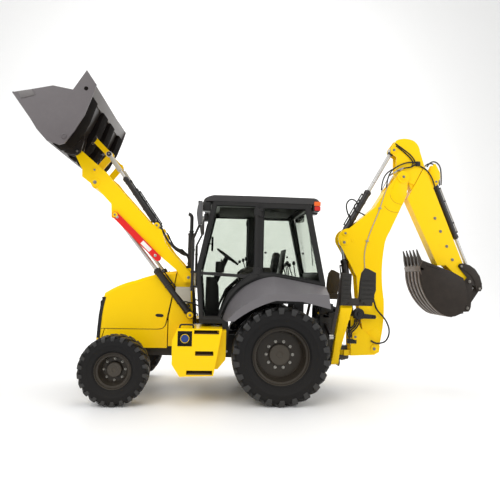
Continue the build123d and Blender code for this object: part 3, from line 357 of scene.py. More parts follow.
def repeat_tree():
    """Copies the host's mesh: copy number i is turned by i times one angle and shifted by i times one step."""
    tree = bpy.data.node_groups.new("repeat_item", "GeometryNodeTree")
    face = tree.interface
    face.new_socket(name="Item", in_out="INPUT", socket_type="NodeSocketGeometry")
    for kind, label in (("NodeSocketInt", "Count"), ("NodeSocketVector", "Turn per item"),
                        ("NodeSocketVector", "Shift per item"), ("NodeSocketVector", "Place"),
                        ("NodeSocketMaterial", "Finish")):
        face.new_socket(name=label, in_out="INPUT", socket_type=kind)
    face.new_socket(name="Items", in_out="OUTPUT", socket_type="NodeSocketGeometry")
    given, made = tree.nodes.new("NodeGroupInput"), tree.nodes.new("NodeGroupOutput")
    number = tree.nodes.new("GeometryNodeInputIndex")
    points = tree.nodes.new("GeometryNodePoints")
    copies = tree.nodes.new("GeometryNodeInstanceOnPoints")
    real = tree.nodes.new("GeometryNodeRealizeInstances")
    paint = tree.nodes.new("GeometryNodeSetMaterial")
    shift, turn = tree.nodes.new("ShaderNodeVectorMath"), tree.nodes.new("ShaderNodeVectorMath")
    move = tree.nodes.new("GeometryNodeTransform")
    for node, source in ((shift, "Shift per item"), (turn, "Turn per item")):
        node.operation = "SCALE"
        tree.links.new(given.outputs[source], node.inputs[0])
        tree.links.new(number.outputs[0], node.inputs["Scale"])
    for source, target in (
        (given.outputs["Count"], points.inputs["Count"]), (shift.outputs[0], points.inputs["Position"]),
        (points.outputs[0], copies.inputs["Points"]), (given.outputs["Item"], copies.inputs["Instance"]),
        (turn.outputs[0], copies.inputs["Rotation"]), (copies.outputs[0], real.inputs[0]),
        (real.outputs[0], move.inputs[0]), (given.outputs["Place"], move.inputs["Translation"]),
        (move.outputs[0], paint.inputs[0]), (given.outputs["Finish"], paint.inputs["Material"]),
        (paint.outputs[0], made.inputs["Items"]),
    ):
        tree.links.new(source, target)
    return tree


repeating = repeat_tree()


def repeat(bm, name, body, material, count, place=(0, 0, 0), turn=(0, 0, 0), shift=(0, 0, 0), sharp=0.7):
    """Repeats one small mesh with the repeat tree and puts the result on a body as a plain mesh."""
    host = bpy.data.objects.new(name + "_host", mesh_from(bm, name + "_item"))
    scene.collection.objects.link(host)
    modifier = host.modifiers.new("repeat", "NODES")
    modifier.node_group = repeating
    keys = {item.name: item.identifier for item in repeating.interface.items_tree if item.in_out == "INPUT"}
    for label, value in (("Count", count), ("Turn per item", turn), ("Shift per item", shift),
                         ("Place", place), ("Finish", material)):
        modifier[keys[label]] = value
    host.update_tag()
    result = plain_mesh(host)
    bpy.data.objects.remove(host)
    result.name = name
    return put_mesh(result, name, body, sharp)


black_paint = finish_of("black_steel_paint", (0.01, 0.0098, 0.0098), (0.035, 0.032, 0.03), 0.42, wear=0.3,
                        dust=0.16, dust_height=1.0)
finish_nodes(black_paint, "main_frame", "front_axle", "rear_axle", "engine", "left_knuckle", "right_knuckle",
             "backhoe_frame")
bm = bmesh.new()
add_block(bm, (-1.28, -0.21, 0.56), (-0.7, 0.21, 0.97), 0.03)
add_block(bm, (-1.95, -0.17, 0.62), (-1.3, 0.17, 0.9), 0.04)
add_turned(bm, ((0, 0.1), (0.05, 0.13), (0.12, 0.13), (0.17, 0.08)), (-0.7, 0, 0.7), "X", 24)
add_rod(bm, (-0.56, 0, 0.7), (-0.07, 0, 0.68), 0.038, 18)
add_turned(bm, ((0, 0.06), (0.03, 0.075), (0.07, 0.075), (0.1, 0.05)), (-0.12, 0, 0.68), "X", 18)
put(bm, "gearbox_and_shaft", "root", black_paint, sharp=0.7)
bm = bmesh.new()
add_rod(bm, (-1.9, -0.3, 0.55), (-1.9, 0.3, 0.55), 0.036, 20)
for side in (-1, 1):
    add_turned(bm, ((0, 0.042), (0.03, 0.044), (0.035, 0.03)), (-1.9, side * 0.3, 0.55), "Y", 20, side)
    add_rod(bm, (-1.9, side * 0.3, 0.55), (-1.93, side * 0.56, 0.53), 0.016, 12)
    add_turned(bm, ((-0.02, 0), (-0.02, 0.03), (0.02, 0.03), (0.02, 0)), (-1.93, side * 0.57, 0.53), "Z", 14)
    add_block(bm, (-1.985, side * 0.18 - 0.02, 0.5), (-1.86, side * 0.18 + 0.02, 0.59), 0.006)
put(bm, "steering_ram", "root", black_paint, sharp=0.7)
zinc = finish_of("zinc_plated_steel", (0.5, 0.49, 0.45), (0.3, 0.27, 0.22), 0.34, wear=0.5, dust=0.1, metallic=0.85)


def hex_item(size, height):
    """One bolt head with its washer, built round the origin and facing -Y."""
    bm = bmesh.new()
    add_turned(bm, ((0, size * 1.45), (height * 0.25, size * 1.45), (height * 0.3, size * 1.4)), (0, 0, 0), "Y",
               20, -1)
    add_turned(bm, ((height * 0.2, size), (height * 0.9, size), (height, size * 0.85), (height, 0)), (0, 0, 0),
               "Y", 6, -1)
    return bm


for row_name, count, place, shift in (
    ("rail_bolts_front", 4, (-2.22, -0.331, 0.8), (0.1, 0, 0)),
    ("rail_bolts_middle", 6, (-1.0, -0.331, 0.62), (0.11, 0, 0)),
    ("rail_bolts_rear", 4, (0.42, -0.331, 0.56), (0.11, 0, 0)),
):
    repeat(hex_item(0.014, 0.016), row_name, "root", zinc, count, place, shift=shift, sharp=0.4)

# Rims: pressed steel discs in dark bronze paint, welded into rolled rims and bolted to the hubs
# with zinc nuts round a turned hub cap. A thin bead ring stands proud on the outer flange.
rim_paint = finish_of("rim_bronze_paint", (0.017, 0.0125, 0.0075), (0.045, 0.034, 0.023), 0.36, wear=0.3, dust=0.1,
                      dust_height=0.9, patch=9.0, specular=0.3)
hub_paint = finish_of("hub_bronze_paint", (0.04, 0.033, 0.024), (0.07, 0.057, 0.043), 0.34, wear=0.35, dust=0.1,
                      patch=9.0, specular=0.3)
axles = (
    # name, x, half track, radius, width, rim radius, hub radius,
    # dish, nuts, nut circle, nut size, lug depth, lug share
    ("front", -2.04, 0.915, 0.457, 0.34, 0.235, 0.106, 0.02, 8, 0.14, 0.013, 0.03, 0.15),
    ("rear", 0.15, 0.868, 0.66, 0.43, 0.381, 0.15, 0.04, 10, 0.182, 0.017, 0.042, 0.14),
)
wheels = [
    (f"{axle}_{hand}", side, x, side * half_track, *sizes)
    for axle, x, half_track, *sizes in axles for side, hand in ((-1, "left"), (1, "right"))
]


def add_ring(bm, section, centre, side=1, segments=64):
    """A closed ring about a Y axis; the section is a closed list of (across, radius) pairs."""
    rings = [
        [bm.verts.new((centre[0] + r * math.sin(2 * math.pi * k / segments), centre[1] + side * across,
                       centre[2] + r * math.cos(2 * math.pi * k / segments))) for across, r in section]
        for k in range(segments)
    ]
    made = []
    for k in range(segments):
        a, b = rings[k], rings[(k + 1) % segments]
        for i in range(len(section)):
            j = (i + 1) % len(section)
            made.append(bm.faces.new((a[i], a[j], b[j], b[i])))
    bmesh.ops.recalc_face_normals(bm, faces=made)


for name, side, x, y, radius, width, rim_radius, *rest in wheels:
    hub_radius, dish, nut_count, nut_circle, nut_size = rest[:5]
    middle = (x, y, radius)
    finish_nodes(rim_paint, f"{name}_rim")
    body = f"{name}_wheel"
    bm = bmesh.new()
    add_turned(bm, ((0, nut_size * 1.3), (0.006, nut_size * 1.3), (0.006, nut_size), (0.022, nut_size),
                    (0.026, nut_size * 0.7), (0.034, nut_size * 0.5), (0.035, 0)), (nut_circle, 0, 0), "Y", 6, side)
    repeat(bm, f"{name}_nuts", body, zinc, nut_count, (x, y - side * dish, radius),
           (0, 2 * math.pi / nut_count, 0), sharp=0.4)
    bm = bmesh.new()
    face = -dish + 0.02
    add_turned(bm, ((face - 0.002, hub_radius - 0.006), (face + 0.022, hub_radius - 0.008),
                    (face + 0.028, hub_radius - 0.016), (face + 0.029, hub_radius * 0.3),
                    (face + 0.024, hub_radius * 0.26), (face + 0.024, 0)), middle, "Y", 40, side)
    put(bm, f"{name}_hub_cap", body, hub_paint)
    flange = width * 0.31 + 0.012
    bm = bmesh.new()
    add_ring(bm, ((flange - 0.004, rim_radius - 0.003), (flange + 0.012, rim_radius + 0.006),
                  (flange + 0.02, rim_radius + 0.003), (flange + 0.02, rim_radius - 0.006),
                  (flange + 0.008, rim_radius - 0.014), (flange - 0.006, rim_radius - 0.016)), middle, side, 72)
    inner = rim_radius - 0.062
    add_ring(bm, ((-dish - 0.002, inner), (-dish + 0.008, inner - 0.004), (-dish + 0.009, inner - 0.016),
                  (-dish - 0.002, inner - 0.022)), middle, side, 72)
    add_rod(bm, (x + rim_radius - 0.05, y + side * (flange - 0.05), radius),
            (x + rim_radius - 0.052, y + side * flange, radius), 0.005, 8)
    put(bm, f"{name}_rim_rings", body, rim_paint)

# Tyres: black cross-ply rubber. Each carcass is moulded with a raised ring on its smooth sidewall,
# and deep angled lugs run from either shoulder to the centre line.
rubber = finish_of("tyre_rubber", (0.0058, 0.0054, 0.0054), (0.014, 0.013, 0.0125), 0.6, wear=0.4, dust=0.14,
                   dust_height=0.8, patch=7.0, grain=260.0, bump=0.12, dust_colour=(0.06, 0.052, 0.043),
                   specular=0.2)
lug_rubber = finish_of("tyre_lug_rubber", (0.0085, 0.0082, 0.008), (0.03, 0.028, 0.026), 0.46, wear=0.7, dust=0.2,
                       dust_height=0.8, patch=9.0, grain=260.0, bump=0.12, dust_colour=(0.08, 0.07, 0.058),
                       specular=0.55)
lug_count = 22
foot_spread = 1.18
crown_spread = 0.9


def add_bars(bm, rows):
    """Closes a bar through rows of four corners each."""
    for a, b in zip(rows, rows[1:]):
        for i in range(4):
            j = (i + 1) % 4
            bm.faces.new((a[i], a[j], b[j], b[i]))
    bm.faces.new(rows[0])
    bm.faces.new(rows[-1][::-1])


def tyre_piece(name, middle, width, rim, lug_depth, lug_share):
    half = width / 2
    radius = middle[2]
    tread = radius - lug_depth
    ring = (rim + tread) / 2 + 0.02
    one_side = (
        (half * 0.62, rim + 0.002), (half * 0.76, rim + 0.004), (half * 0.86, rim + 0.022),
        (half * 0.9, rim + 0.03), (half * 0.895, rim + 0.036), (half * 0.95, rim + 0.07),
        (half * 0.965, ring - 0.03), (half * 0.995, ring - 0.022), (half * 0.998, ring - 0.006),
        (half * 0.975, ring + 0.002), (half * 0.975, tread - 0.055), (half * 0.92, tread - 0.02),
        (half * 0.84, tread - 0.004), (half * 0.5, tread + 0.003), (0, tread + 0.005),
    )
    section = one_side + tuple((-across, r) for across, r in one_side[-2::-1])
    bm = bmesh.new()
    add_ring(bm, section, middle, 1, 96)
    carcass = put(bm, f"{name}_tyre_carcass", f"{name}_wheel", rubber, sharp=0.6)
    pitch = 2 * math.pi / lug_count
    bm = bmesh.new()
    for hand in (-1, 1):
        start = 0.0 if hand < 0 else pitch / 2
        # across share, turn ahead, outer radius, half thickness: from the centre line out and down the shoulder
        stations = (
            (0.04, 0.62, radius - 0.002, 0.26), (0.45, 0.38, radius - 0.001, 0.25),
            (0.8, 0.06, radius - 0.004, 0.25), (0.925, -0.04, radius - 0.008, 0.25),
            (0.985, -0.07, radius - 0.026, 0.24), (1.0, -0.1, radius * (1 - lug_share), 0.19),
        )
        rows = []
        for share, turn_ahead, top, thick in stations:
            angle = start + turn_ahead * pitch
            base = min(top - 0.012, tread - 0.006) if share < 0.9 else top - 0.02
            inward = 0.0 if share < 0.9 else -0.035
            row = []
            for end, level_radius, spread in (
                (-1, base, foot_spread), (-1, top, crown_spread), (1, top, crown_spread), (1, base, foot_spread),
            ):
                swing = angle + end * thick * spread * pitch
                depth = share * half + (inward if level_radius == base else 0)
                row.append(bm.verts.new((level_radius * math.sin(swing), hand * depth,
                                         level_radius * math.cos(swing))))
            rows.append(row)
        add_bars(bm, rows)
    bmesh.ops.recalc_face_normals(bm, faces=bm.faces)
    bmesh.ops.bevel(bm, geom=bm.edges[:], offset=0.003, segments=1, affect="EDGES", clamp_overlap=True)
    repeat(bm, f"{name}_tyre_lugs", f"{name}_wheel", lug_rubber, lug_count, middle, (0, pitch, 0),
           sharp=0.4)
    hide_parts(f"{name}_tyre")


for name, side, x, y, radius, width, rim_radius, *rest in wheels:
    lug_depth, lug_share = rest[-2:]
    tyre_piece(name, (x, y, radius), width, rim_radius, lug_depth, lug_share)

# Loader towers: yellow welded boxes beside the hood. The arm and cylinder pins show as capped steel ends,
# a blank cream panel is riveted to the left tower, and a pair of pipes climbs behind it.
yellow_paint = finish_of("yellow_paint", (0.95, 0.615, 0.0018), (0.86, 0.52, 0.004), 0.3, wear=0.12, dust=0.05,
                         dust_height=0.9, patch=2.5, coat=0.03, bump=0.02, specular=0.12)
finish_nodes(yellow_paint, "loader_towers")
steel = finish_of("pin_steel", (0.2, 0.185, 0.165), (0.32, 0.3, 0.27), 0.36, wear=0.6, dust=0.05, metallic=0.6)


def pin_ends(name, body, rows, material=None, centre=0.42):
    """Capped pin ends with a keeper bolt, on both sides: each row is x, z, the face's half width, radius."""
    bm, bolts = bmesh.new(), bmesh.new()
    for side in (-1, 1):
        for x, z, half, radius in rows:
            place, head = (x, side * half, z), radius * centre
            add_turned(bm, ((0, radius), (0.01, radius), (0.013, radius * 0.9), (0.013, 0)), place, "Y", 28, side)
            add_turned(bolts, ((0.013, head), (0.021, head), (0.023, head * 0.8), (0.023, 0)), place, "Y", 18, side)
    put(bm, name, body, material or yellow_paint)
    put(bolts, name + "_bolts", body, steel)


pin_ends("tower_pins", "root", ((-1.125, 1.68, 0.541, 0.05), (-1.09, 1.15, 0.541, 0.046)))
cream = finish_of("valve_cream", (0.42, 0.39, 0.32), (0.3, 0.27, 0.21), 0.45, wear=0.4, dust=0.1)
bm = bmesh.new()
add_plate(bm, ((-1.3, 1.545), (-1.092, 1.545), (-1.085, 1.33), (-1.15, 1.31), (-1.3, 1.48)), -0.5455, -0.5415,
          0.002)
for x, z in ((-1.275, 1.525), (-1.115, 1.525), (-1.115, 1.35)):
    add_turned(bm, ((0, 0.01), (0.006, 0.01), (0.008, 0)), (x, -0.5455, z), "Y", 12, -1)
put(bm, "tower_blank_panel", "root", cream, sharp=0.7)
hose_rubber = finish_of("hose_rubber", (0.008, 0.008, 0.008), (0.02, 0.02, 0.02), 0.5, wear=0.4, dust=0.05,
                        grain=700.0)


def hose_mesh(name, routes, radius):
    """Round hoses or pipes on smooth curves, as one closed mesh."""
    curve = bpy.data.curves.new(name, "CURVE")
    curve.dimensions = "3D"
    curve.bevel_depth = radius
    curve.bevel_resolution = 3
    curve.use_fill_caps = True
    curve.resolution_u = 8
    for route in routes:
        spline = curve.splines.new("NURBS")
        spline.points.add(len(route) - 1)
        for point, place in zip(spline.points, route):
            point.co = (*place, 1)
        spline.order_u = 3
        spline.use_endpoint_u = True
    host = bpy.data.objects.new(name + "_line", curve)
    scene.collection.objects.link(host)
    mesh = plain_mesh(host)
    bpy.data.objects.remove(host)
    mesh.name = name
    return mesh


def hoses(name, body, routes, radius=0.014, material=None, far_body=None):
    mesh = hose_mesh(name, routes, radius)
    mesh.materials.clear()
    mesh.materials.append(material or hose_rubber)
    if not far_body:
        return put_mesh(mesh, name, body)
    piece = put_mesh(mesh, name, None)
    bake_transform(piece)
    return piece


hoses("tower_pipes", "root", [
    [(-1.08, -0.405, 1.8), (-1.075, -0.415, 1.6), (-1.045 + 0.03 * k, -0.44, 1.3), (-1.04 + 0.03 * k, -0.43, 1.03)]
    for k in (0, 1)
], 0.013)

# Hood: one formed yellow sheet that tips forward, with fixed skirts below. A black grille with level
# slats and two headlamps closes the nose; the slam latch sits in a rounded slot on each side.
finish_nodes(yellow_paint, "hood", "skirts")
shut_brown = finish_of("shut_line_seal", (0.045, 0.024, 0.006), (0.03, 0.02, 0.01), 0.6, wear=0.2, dust=0.0)
grille_black = finish_of("grille_black", (0.008, 0.008, 0.0085), (0.02, 0.02, 0.02), 0.5, wear=0.2, dust=0.1,
                         grain=900.0)
nose = ((-2.3895, 0.79), (-2.379, 0.955), (-2.367, 1.12), (-2.348, 1.25), (-2.32, 1.372))
bm = bmesh.new()
outer = [(x - 0.007, z) for x, z in nose]
add_plate(bm, outer + [(x + 0.006, z) for x, z in nose[::-1]], -0.36, 0.36)
for side in (-1, 1):
    strip = [(x - 0.007, z) for x, z in nose] + [(x + 0.04, z + 0.004) for x, z in nose[::-1]]
    add_plate(bm, strip, side * 0.4285, side * 0.4365, 0.002)
    add_plate(bm, outer + [(x + 0.004, z) for x, z in nose[::-1]], side * 0.355, side * 0.4365, 0.002)
add_block(bm, (-2.335, -0.4365, 1.356), (-2.285, 0.4365, 1.38), 0.004)
put(bm, "grille_frame", "hood", grille_black)
bm = bmesh.new()
add_block(bm, (-2.401, -0.335, 0.812), (-2.386, 0.335, 0.826), 0.003)
repeat(bm, "grille_slats", "hood", grille_black, 12, shift=(0.0032, 0, 0.031), sharp=0.5)
lamp_glass = finish_of("lamp_lens", (0.75, 0.77, 0.78), (0.6, 0.62, 0.62), 0.12, wear=0.1, dust=0.0,
                       metallic=0.35, coat=0.6)
bm = bmesh.new()
housing = bmesh.new()
for side in (-1, 1):
    add_block(housing, (-2.372, side * 0.27 - 0.085, 1.205), (-2.325, side * 0.27 + 0.085, 1.325), 0.012)
    add_block(bm, (-2.379, side * 0.27 - 0.072, 1.218), (-2.367, side * 0.27 + 0.072, 1.312), 0.01)
put(housing, "headlamp_housings", "hood", grille_black)
put(bm, "headlamp_lenses", "hood", lamp_glass)
bm = bmesh.new()
for side in (-1, 1):
    slot = [(-1.582 + 0.114 * u, 1.131 + 0.022 * v + 0.006 * (0.5 - u)) for u, v in
            ((0.0, -0.4), (0.2, -1), (0.8, -1), (1.0, -0.4), (1.0, 0.4), (0.8, 1), (0.2, 1), (0.0, 0.4))]
    add_plate(bm, slot, side * 0.4295, side * 0.4345, 0.002)
    add_block(bm, (-1.545, side * 0.4345 - 0.004, 1.118), (-1.505, side * 0.4345 + 0.004, 1.142), 0.003)
put(bm, "hood_latches", "hood", grille_black)
shut_line = ((-2.335, 0.9375), (-2.0, 0.9375), (-1.62, 0.9375), (-1.52, 0.938), (-1.462, 0.958), (-1.434, 1.01),
             (-1.424, 1.08), (-1.39, 1.24), (-1.341, 1.49), (-1.32, 1.62), (-1.3, 1.735))
hoses("hood_shut_seals", "root", [[(x, side * 0.4275, z) for x, z in shut_line] for side in (-1, 1)], 0.0045,
      shut_brown)

# Side boxes: the fuel tank on the left and its twin on the right, folded from yellow plate with steps cut in.
# Ribbed treads in dark brown, painted shade of the yellow slots, line the steps; a blue filler cap sits in a black
# well.
finish_nodes(yellow_paint, "left_fuel_tank", "right_step_box")
bm = bmesh.new()
for side in (-1, 1):
    for x, z, run, rise in ((-0.845, 0.968, 0.33, 0.052), (-0.87, 0.69, 0.24, 0.06), (-0.93, 0.44, 0.34, 0.056)):
        low, high = x - run / 2 + 0.004, x + run / 2 - 0.004
        near, far = sorted((side * 0.878, side * 1.012))
        add_block(bm, (low, near, z - rise / 2 + 0.001), (high, far, z - rise / 2 + 0.008), 0.001)
        add_block(bm, (low, side * 0.8765, z - rise / 2), (high, side * 0.8805, z + rise / 2 - 0.002))
        for k in range(7):
            rib = near + (far - near) * (k + 0.5) / 7
            add_block(bm, (low + 0.01, rib - 0.004, z - rise / 2 + 0.007),
                      (high - 0.01, rib + 0.004, z - rise / 2 + 0.013), 0.001)
# The treads and slot backs are dark brown as painted shade of the yellow slots; wear and dust sit on top.
tread_painted_shade = finish_of("step_tread_painted_shade", (0.095, 0.058, 0.018), (0.05, 0.034, 0.016), 0.6, wear=0.6, dust=0.2,
                        patch=20.0)
put(bm, "step_treads", "root", tread_painted_shade)
bm = bmesh.new()
for side in (-1, 1):
    add_plate(bm, ((-0.7, 0.99), (-0.585, 0.985), (-0.585, 0.6), (-0.69, 0.47), (-0.73, 0.47)), side * 0.5,
              side * 0.93, 0.006)
put(bm, "box_rear_gussets", "root", yellow_paint)
bm = bmesh.new()
for x0, y, z0, x1, z1 in (
    # the well's back and its four sides
    (-1.222, -0.962, 0.784, -1.036, 0.978), (-1.222, -1.019, 0.784, -1.217, 0.978),
    (-1.041, -1.019, 0.784, -1.036, 0.978), (-1.222, -1.019, 0.784, -1.036, 0.789),
    (-1.222, -1.019, 0.973, -1.036, 0.978),
):
    add_block(bm, (x0, y, z0), (x1, -0.958, z1))
put(bm, "filler_well", "root", grille_black)
cap_blue = finish_of("filler_cap_blue", (0.01, 0.04, 0.2), (0.02, 0.06, 0.2), 0.4, wear=0.2, dust=0.05, grain=800.0)
bm = bmesh.new()
add_turned(bm, ((-0.958, 0.042), (-0.99, 0.042), (-0.992, 0.052), (-1.012, 0.052), (-1.017, 0.046), (-1.017, 0)),
           (-1.129, 0, 0.881), "Y", 36, 1)
for k in range(10):
    x, z = -1.129 + 0.05 * math.cos(2 * math.pi * k / 10), 0.881 + 0.05 * math.sin(2 * math.pi * k / 10)
    add_block(bm, (x - 0.006, -1.012, z - 0.006), (x + 0.006, -0.994, z + 0.006), 0.002)
put(bm, "filler_cap", "root", cap_blue)
hoses("tank_grab_loops", "root", [
    [(x, side * 0.985, z) for x, z in (
        (-1.2, 1.012), (-1.2, 1.058), (-1.16, 1.062), (-1.06, 1.062), (-1.02, 1.058), (-1.02, 1.012))]
    for side in (-1, 1)
], 0.011)

# Loader arms: bent yellow box sections with pin bosses, joined by a round cross tube. Rubber hoses leave the
# towers, loop over the arm pivots and feed short pipes up to the tilt cylinders.
finish_nodes(yellow_paint, "loader_arms", "bucket_levers", "bucket_links")
pin_ends("arm_pins", "loader_arms", (
    (-1.593, 2.407, 0.53, 0.038), (-2.17, 2.535, 0.577, 0.036), (-2.47, 2.99, 0.53, 0.06), (-2.48, 3.165, 0.53, 0.034)))
pin_ends("bucket_pins", "loader_bucket", ((-2.725, 3.415, 0.556, 0.04),), black_paint)
pin_ends("lever_pins", "bucket_levers", ((-2.295, 3.405, 0.52, 0.032),), black_paint)
for side, hand in ((-1, "left"), (1, "right")):
    lanes = [(k, side * (0.458 + 0.018 * k)) for k in range(4)]
    hoses(f"{hand}_pivot_hoses", "root", [
        [(-1.1 - 0.02 * k, side * 0.395, 1.79), (-1.1, side * (0.41 - 0.012 * k), 1.9),
         (-1.16 - 0.02 * k, y - side * 0.003, 2.02 + 0.02 * k), (-1.26, y, 2.03 + 0.012 * k),
         (-1.36, y, 2.1 + 0.01 * k), (-1.43, y, 2.19)] for k, y in lanes
    ], 0.0125, far_body="loader_arms")
    hoses(f"{hand}_arm_pipes", "loader_arms", [
        [(-1.42, y, 2.18), (-1.475, y, 2.26), (-1.52, y, 2.37), (-1.545, y, 2.385)] for k, y in lanes
    ], 0.0125)

# Safety strut: a channel folded from steel plate and painted red, parked against the left arm.
# A blank white plate is riveted to its side, and a bolt holds each end.
red_paint = finish_of("red_strut_paint", (0.7, 0.01, 0.009), (0.45, 0.014, 0.012), 0.32, wear=0.25, dust=0.0,
                      coat=0.15, specular=0.3)
finish_nodes(red_paint, "safety_strut")
blank_white = finish_of("blank_plate", (0.8, 0.79, 0.76), (0.62, 0.6, 0.56), 0.4, wear=0.3, dust=0.0)
along = Vector((0.7188, 0, -0.6952))
across = Vector((0.6952, 0, 0.7188))
bm = bmesh.new()
middle = Vector((-1.725, -0.576, 2.104))
corner = [middle + along * a * 0.085 + across * b * 0.028 for a, b in ((-1, -1), (1, -1), (1, 1), (-1, 1))]
add_plate(bm, [(c.x, c.z) for c in corner], -0.5765, -0.5785, 0.0006)
put(bm, "strut_plate", "loader_arms", blank_white)
bm = bmesh.new()
for a in (0.045, 0.8):
    spot = Vector((-2.17, -0.575, 2.535)) + along * a
    add_turned(bm, ((0, 0.02), (0.01, 0.02), (0.012, 0.014), (0.022, 0.012), (0.023, 0)), spot, "Y", 18, -1)
put(bm, "strut_bolts", "loader_arms", zinc)

# Loader cylinders: black painted barrels with turned end caps, chromed rods, and a steel oil pipe clamped
# beside each barrel. The lift cylinders push the arms; the tilt cylinders lie on top of them.
barrel_black = finish_of("cylinder_black", (0.013, 0.01, 0.009), (0.04, 0.032, 0.028), 0.3, wear=0.25, dust=0.05,
                         coat=0.2)
finish_nodes(barrel_black, "lift_cylinder_barrels", "tilt_cylinder_barrels")
chrome = finish_of("chromed_rod", (0.5, 0.49, 0.47), (0.36, 0.35, 0.33), 0.26, wear=0.3, dust=0.0, metallic=0.7,
                   bump=0.01)
finish_nodes(chrome, "lift_cylinder_rods", "tilt_cylinder_rods")


def oriented(bm, profile, start, end, at, segments=24):
    """A turned shape on the line from start to end, its zero at a distance along the line."""
    start, end = Vector(start), Vector(end)
    run = (end - start).normalized()
    first = run.orthogonal().normalized()
    add_turned(bm, profile, start + run * at, (run, first, run.cross(first)), segments)


def dress_cylinder(name, body, material, start, end, barrel_from, barrel_to, radius, rod, pipe_side, clamps):
    """End caps, a gland nut, clamp bands and the unions of a side pipe on one barrel; gives back the pipe's route."""
    start, end = Vector(start), Vector(end)
    run = (end - start).normalized()
    out = Vector(pipe_side).normalized()
    bm = bmesh.new()
    oriented(bm, ((-0.004, radius * 0.96), (0.0, radius + 0.006), (0.022, radius + 0.007),
                  (0.028, radius + 0.001)), start, end, barrel_from)
    oriented(bm, ((-0.052, radius + 0.001), (-0.046, radius + 0.007), (-0.004, radius + 0.007),
                  (0.002, radius + 0.002), (0.004, rod + 0.008), (0.014, rod + 0.006), (0.015, rod + 0.0015)),
             start, end, barrel_to)
    for share in clamps:
        place = start + run * (barrel_from + (barrel_to - barrel_from) * share)
        oriented(bm, ((-0.012, radius + 0.001), (-0.011, radius + 0.006), (0.011, radius + 0.006),
                      (0.012, radius + 0.001)), place, place + run, 0)
        knob = place + out * (radius + 0.014)
        oriented(bm, ((-0.012, 0), (-0.012, 0.016), (0.012, 0.016), (0.012, 0)), knob, knob + run, 0, 12)
    for at in (barrel_from + 0.045, barrel_to - 0.085):
        foot = start + run * at
        add_rod(bm, foot + out * (radius - 0.004), foot + out * (radius + 0.026), 0.013, 12)
    put(bm, f"{name}_caps", body, material)
    low, high = start + run * (barrel_from + 0.045), start + run * (barrel_to - 0.085)
    lift = out * (radius + 0.02)
    return [low + lift, low + lift + run * 0.02, high + lift - run * 0.02, high + lift]


pipes = []
for side, hand in ((-1, "left"), (1, "right")):
    pipes.append(dress_cylinder(
        f"lift_{hand}", "lift_cylinder_barrels", barrel_black, (-1.09, side * 0.485, 1.15),
        (-2.17, side * 0.485, 2.535), 0.06, 0.8, 0.05, 0.028, (0.7, 0, 0.6), (0.24, 0.62),
    ))
hoses("lift_cylinder_pipes", "lift_cylinder_barrels", pipes, 0.01)
pipes, sleeves = [], bmesh.new()
for side, hand in ((-1, "left"), (1, "right")):
    foot, eye = (-1.593, side * 0.49, 2.407), (-2.295, side * 0.49, 3.405)
    run = dress_cylinder(
        f"tilt_{hand}", "tilt_cylinder_barrels", barrel_black, foot, eye, 0.075, 0.815, 0.035, 0.02,
        (0.8, side * -0.6, 0.55), (0.3, 0.65, 0.9),
    )
    oriented(sleeves, ((0, 0.022), (0.004, 0.034), (0.222, 0.034), (0.23, 0.022)), foot, eye, 0.935)
    low, high = (run[k] + Vector((0, side * 0.03, 0)) for k in (0, -1))
    pipes += [run, [low, low + Vector((-0.02, 0, 0.03)), high, high + Vector((-0.01, 0, 0.02))]]
hoses("tilt_cylinder_pipes", "tilt_cylinder_barrels", pipes, 0.009)
put(sleeves, "tilt_rod_sleeves", "tilt_cylinder_rods", cream)
for side, hand in ((-1, "left"), (1, "right")):
    hoses(f"{hand}_lift_hoses", "root", [
        [(-0.985, side * 0.5, 1.28), (-1.02, side * 0.535, 1.315), (-1.1, side * 0.545, 1.325),
         (-1.17, side * 0.545, 1.345), (-1.225, side * 0.538, 1.325)]
    ], 0.01, far_body="lift_cylinder_barrels")

# Loader bucket: a rolled shell between flame-cut side plates, in worn dark grey. A cutting edge is bolted
# to the lip, corner plates guard the sides, and welded ribs stiffen the back.
bucket_grey = finish_of("loader_bucket_paint", (0.088, 0.076, 0.079), (0.15, 0.135, 0.14), 0.34, wear=0.5,
                        dust=0.0, patch=3.0, specular=0.4)
bucket_edge = finish_of("bucket_edge_grey", (0.13, 0.12, 0.118), (0.22, 0.21, 0.2), 0.4, wear=0.5, dust=0.0,
                        patch=6.0)
# The back ribs are matt near black as painted shade for the bucket's shadowed back.
bucket_rib_shade = finish_of("bucket_rib_painted_shade", (0.0075, 0.006, 0.0055), (0.02, 0.017, 0.016), 0.85, wear=0.5,
                        dust=0.0, patch=6.0, specular=0.03)
# Between the side plates the shell gets a near-black colour, as painted shade for its shadowed back and bowl.
tree = bucket_grey.node_tree
shader = next(n for n in tree.nodes if n.type == "BSDF_PRINCIPLED")
painted = shader.inputs["Base Color"].links[0].from_socket
across = tree.nodes.new("ShaderNodeSeparateXYZ")
tree.links.new(tree.nodes.new("ShaderNodeTexCoord").outputs["Object"], across.inputs[0])
distance = tree.nodes.new("ShaderNodeMath")
distance.operation = "ABSOLUTE"
tree.links.new(across.outputs["Y"], distance.inputs[0])
near_side = tree.nodes.new("ShaderNodeMapRange")
near_side.inputs["From Min"].default_value = 1.085
near_side.inputs["From Max"].default_value = 1.1
tree.links.new(distance.outputs[0], near_side.inputs["Value"])
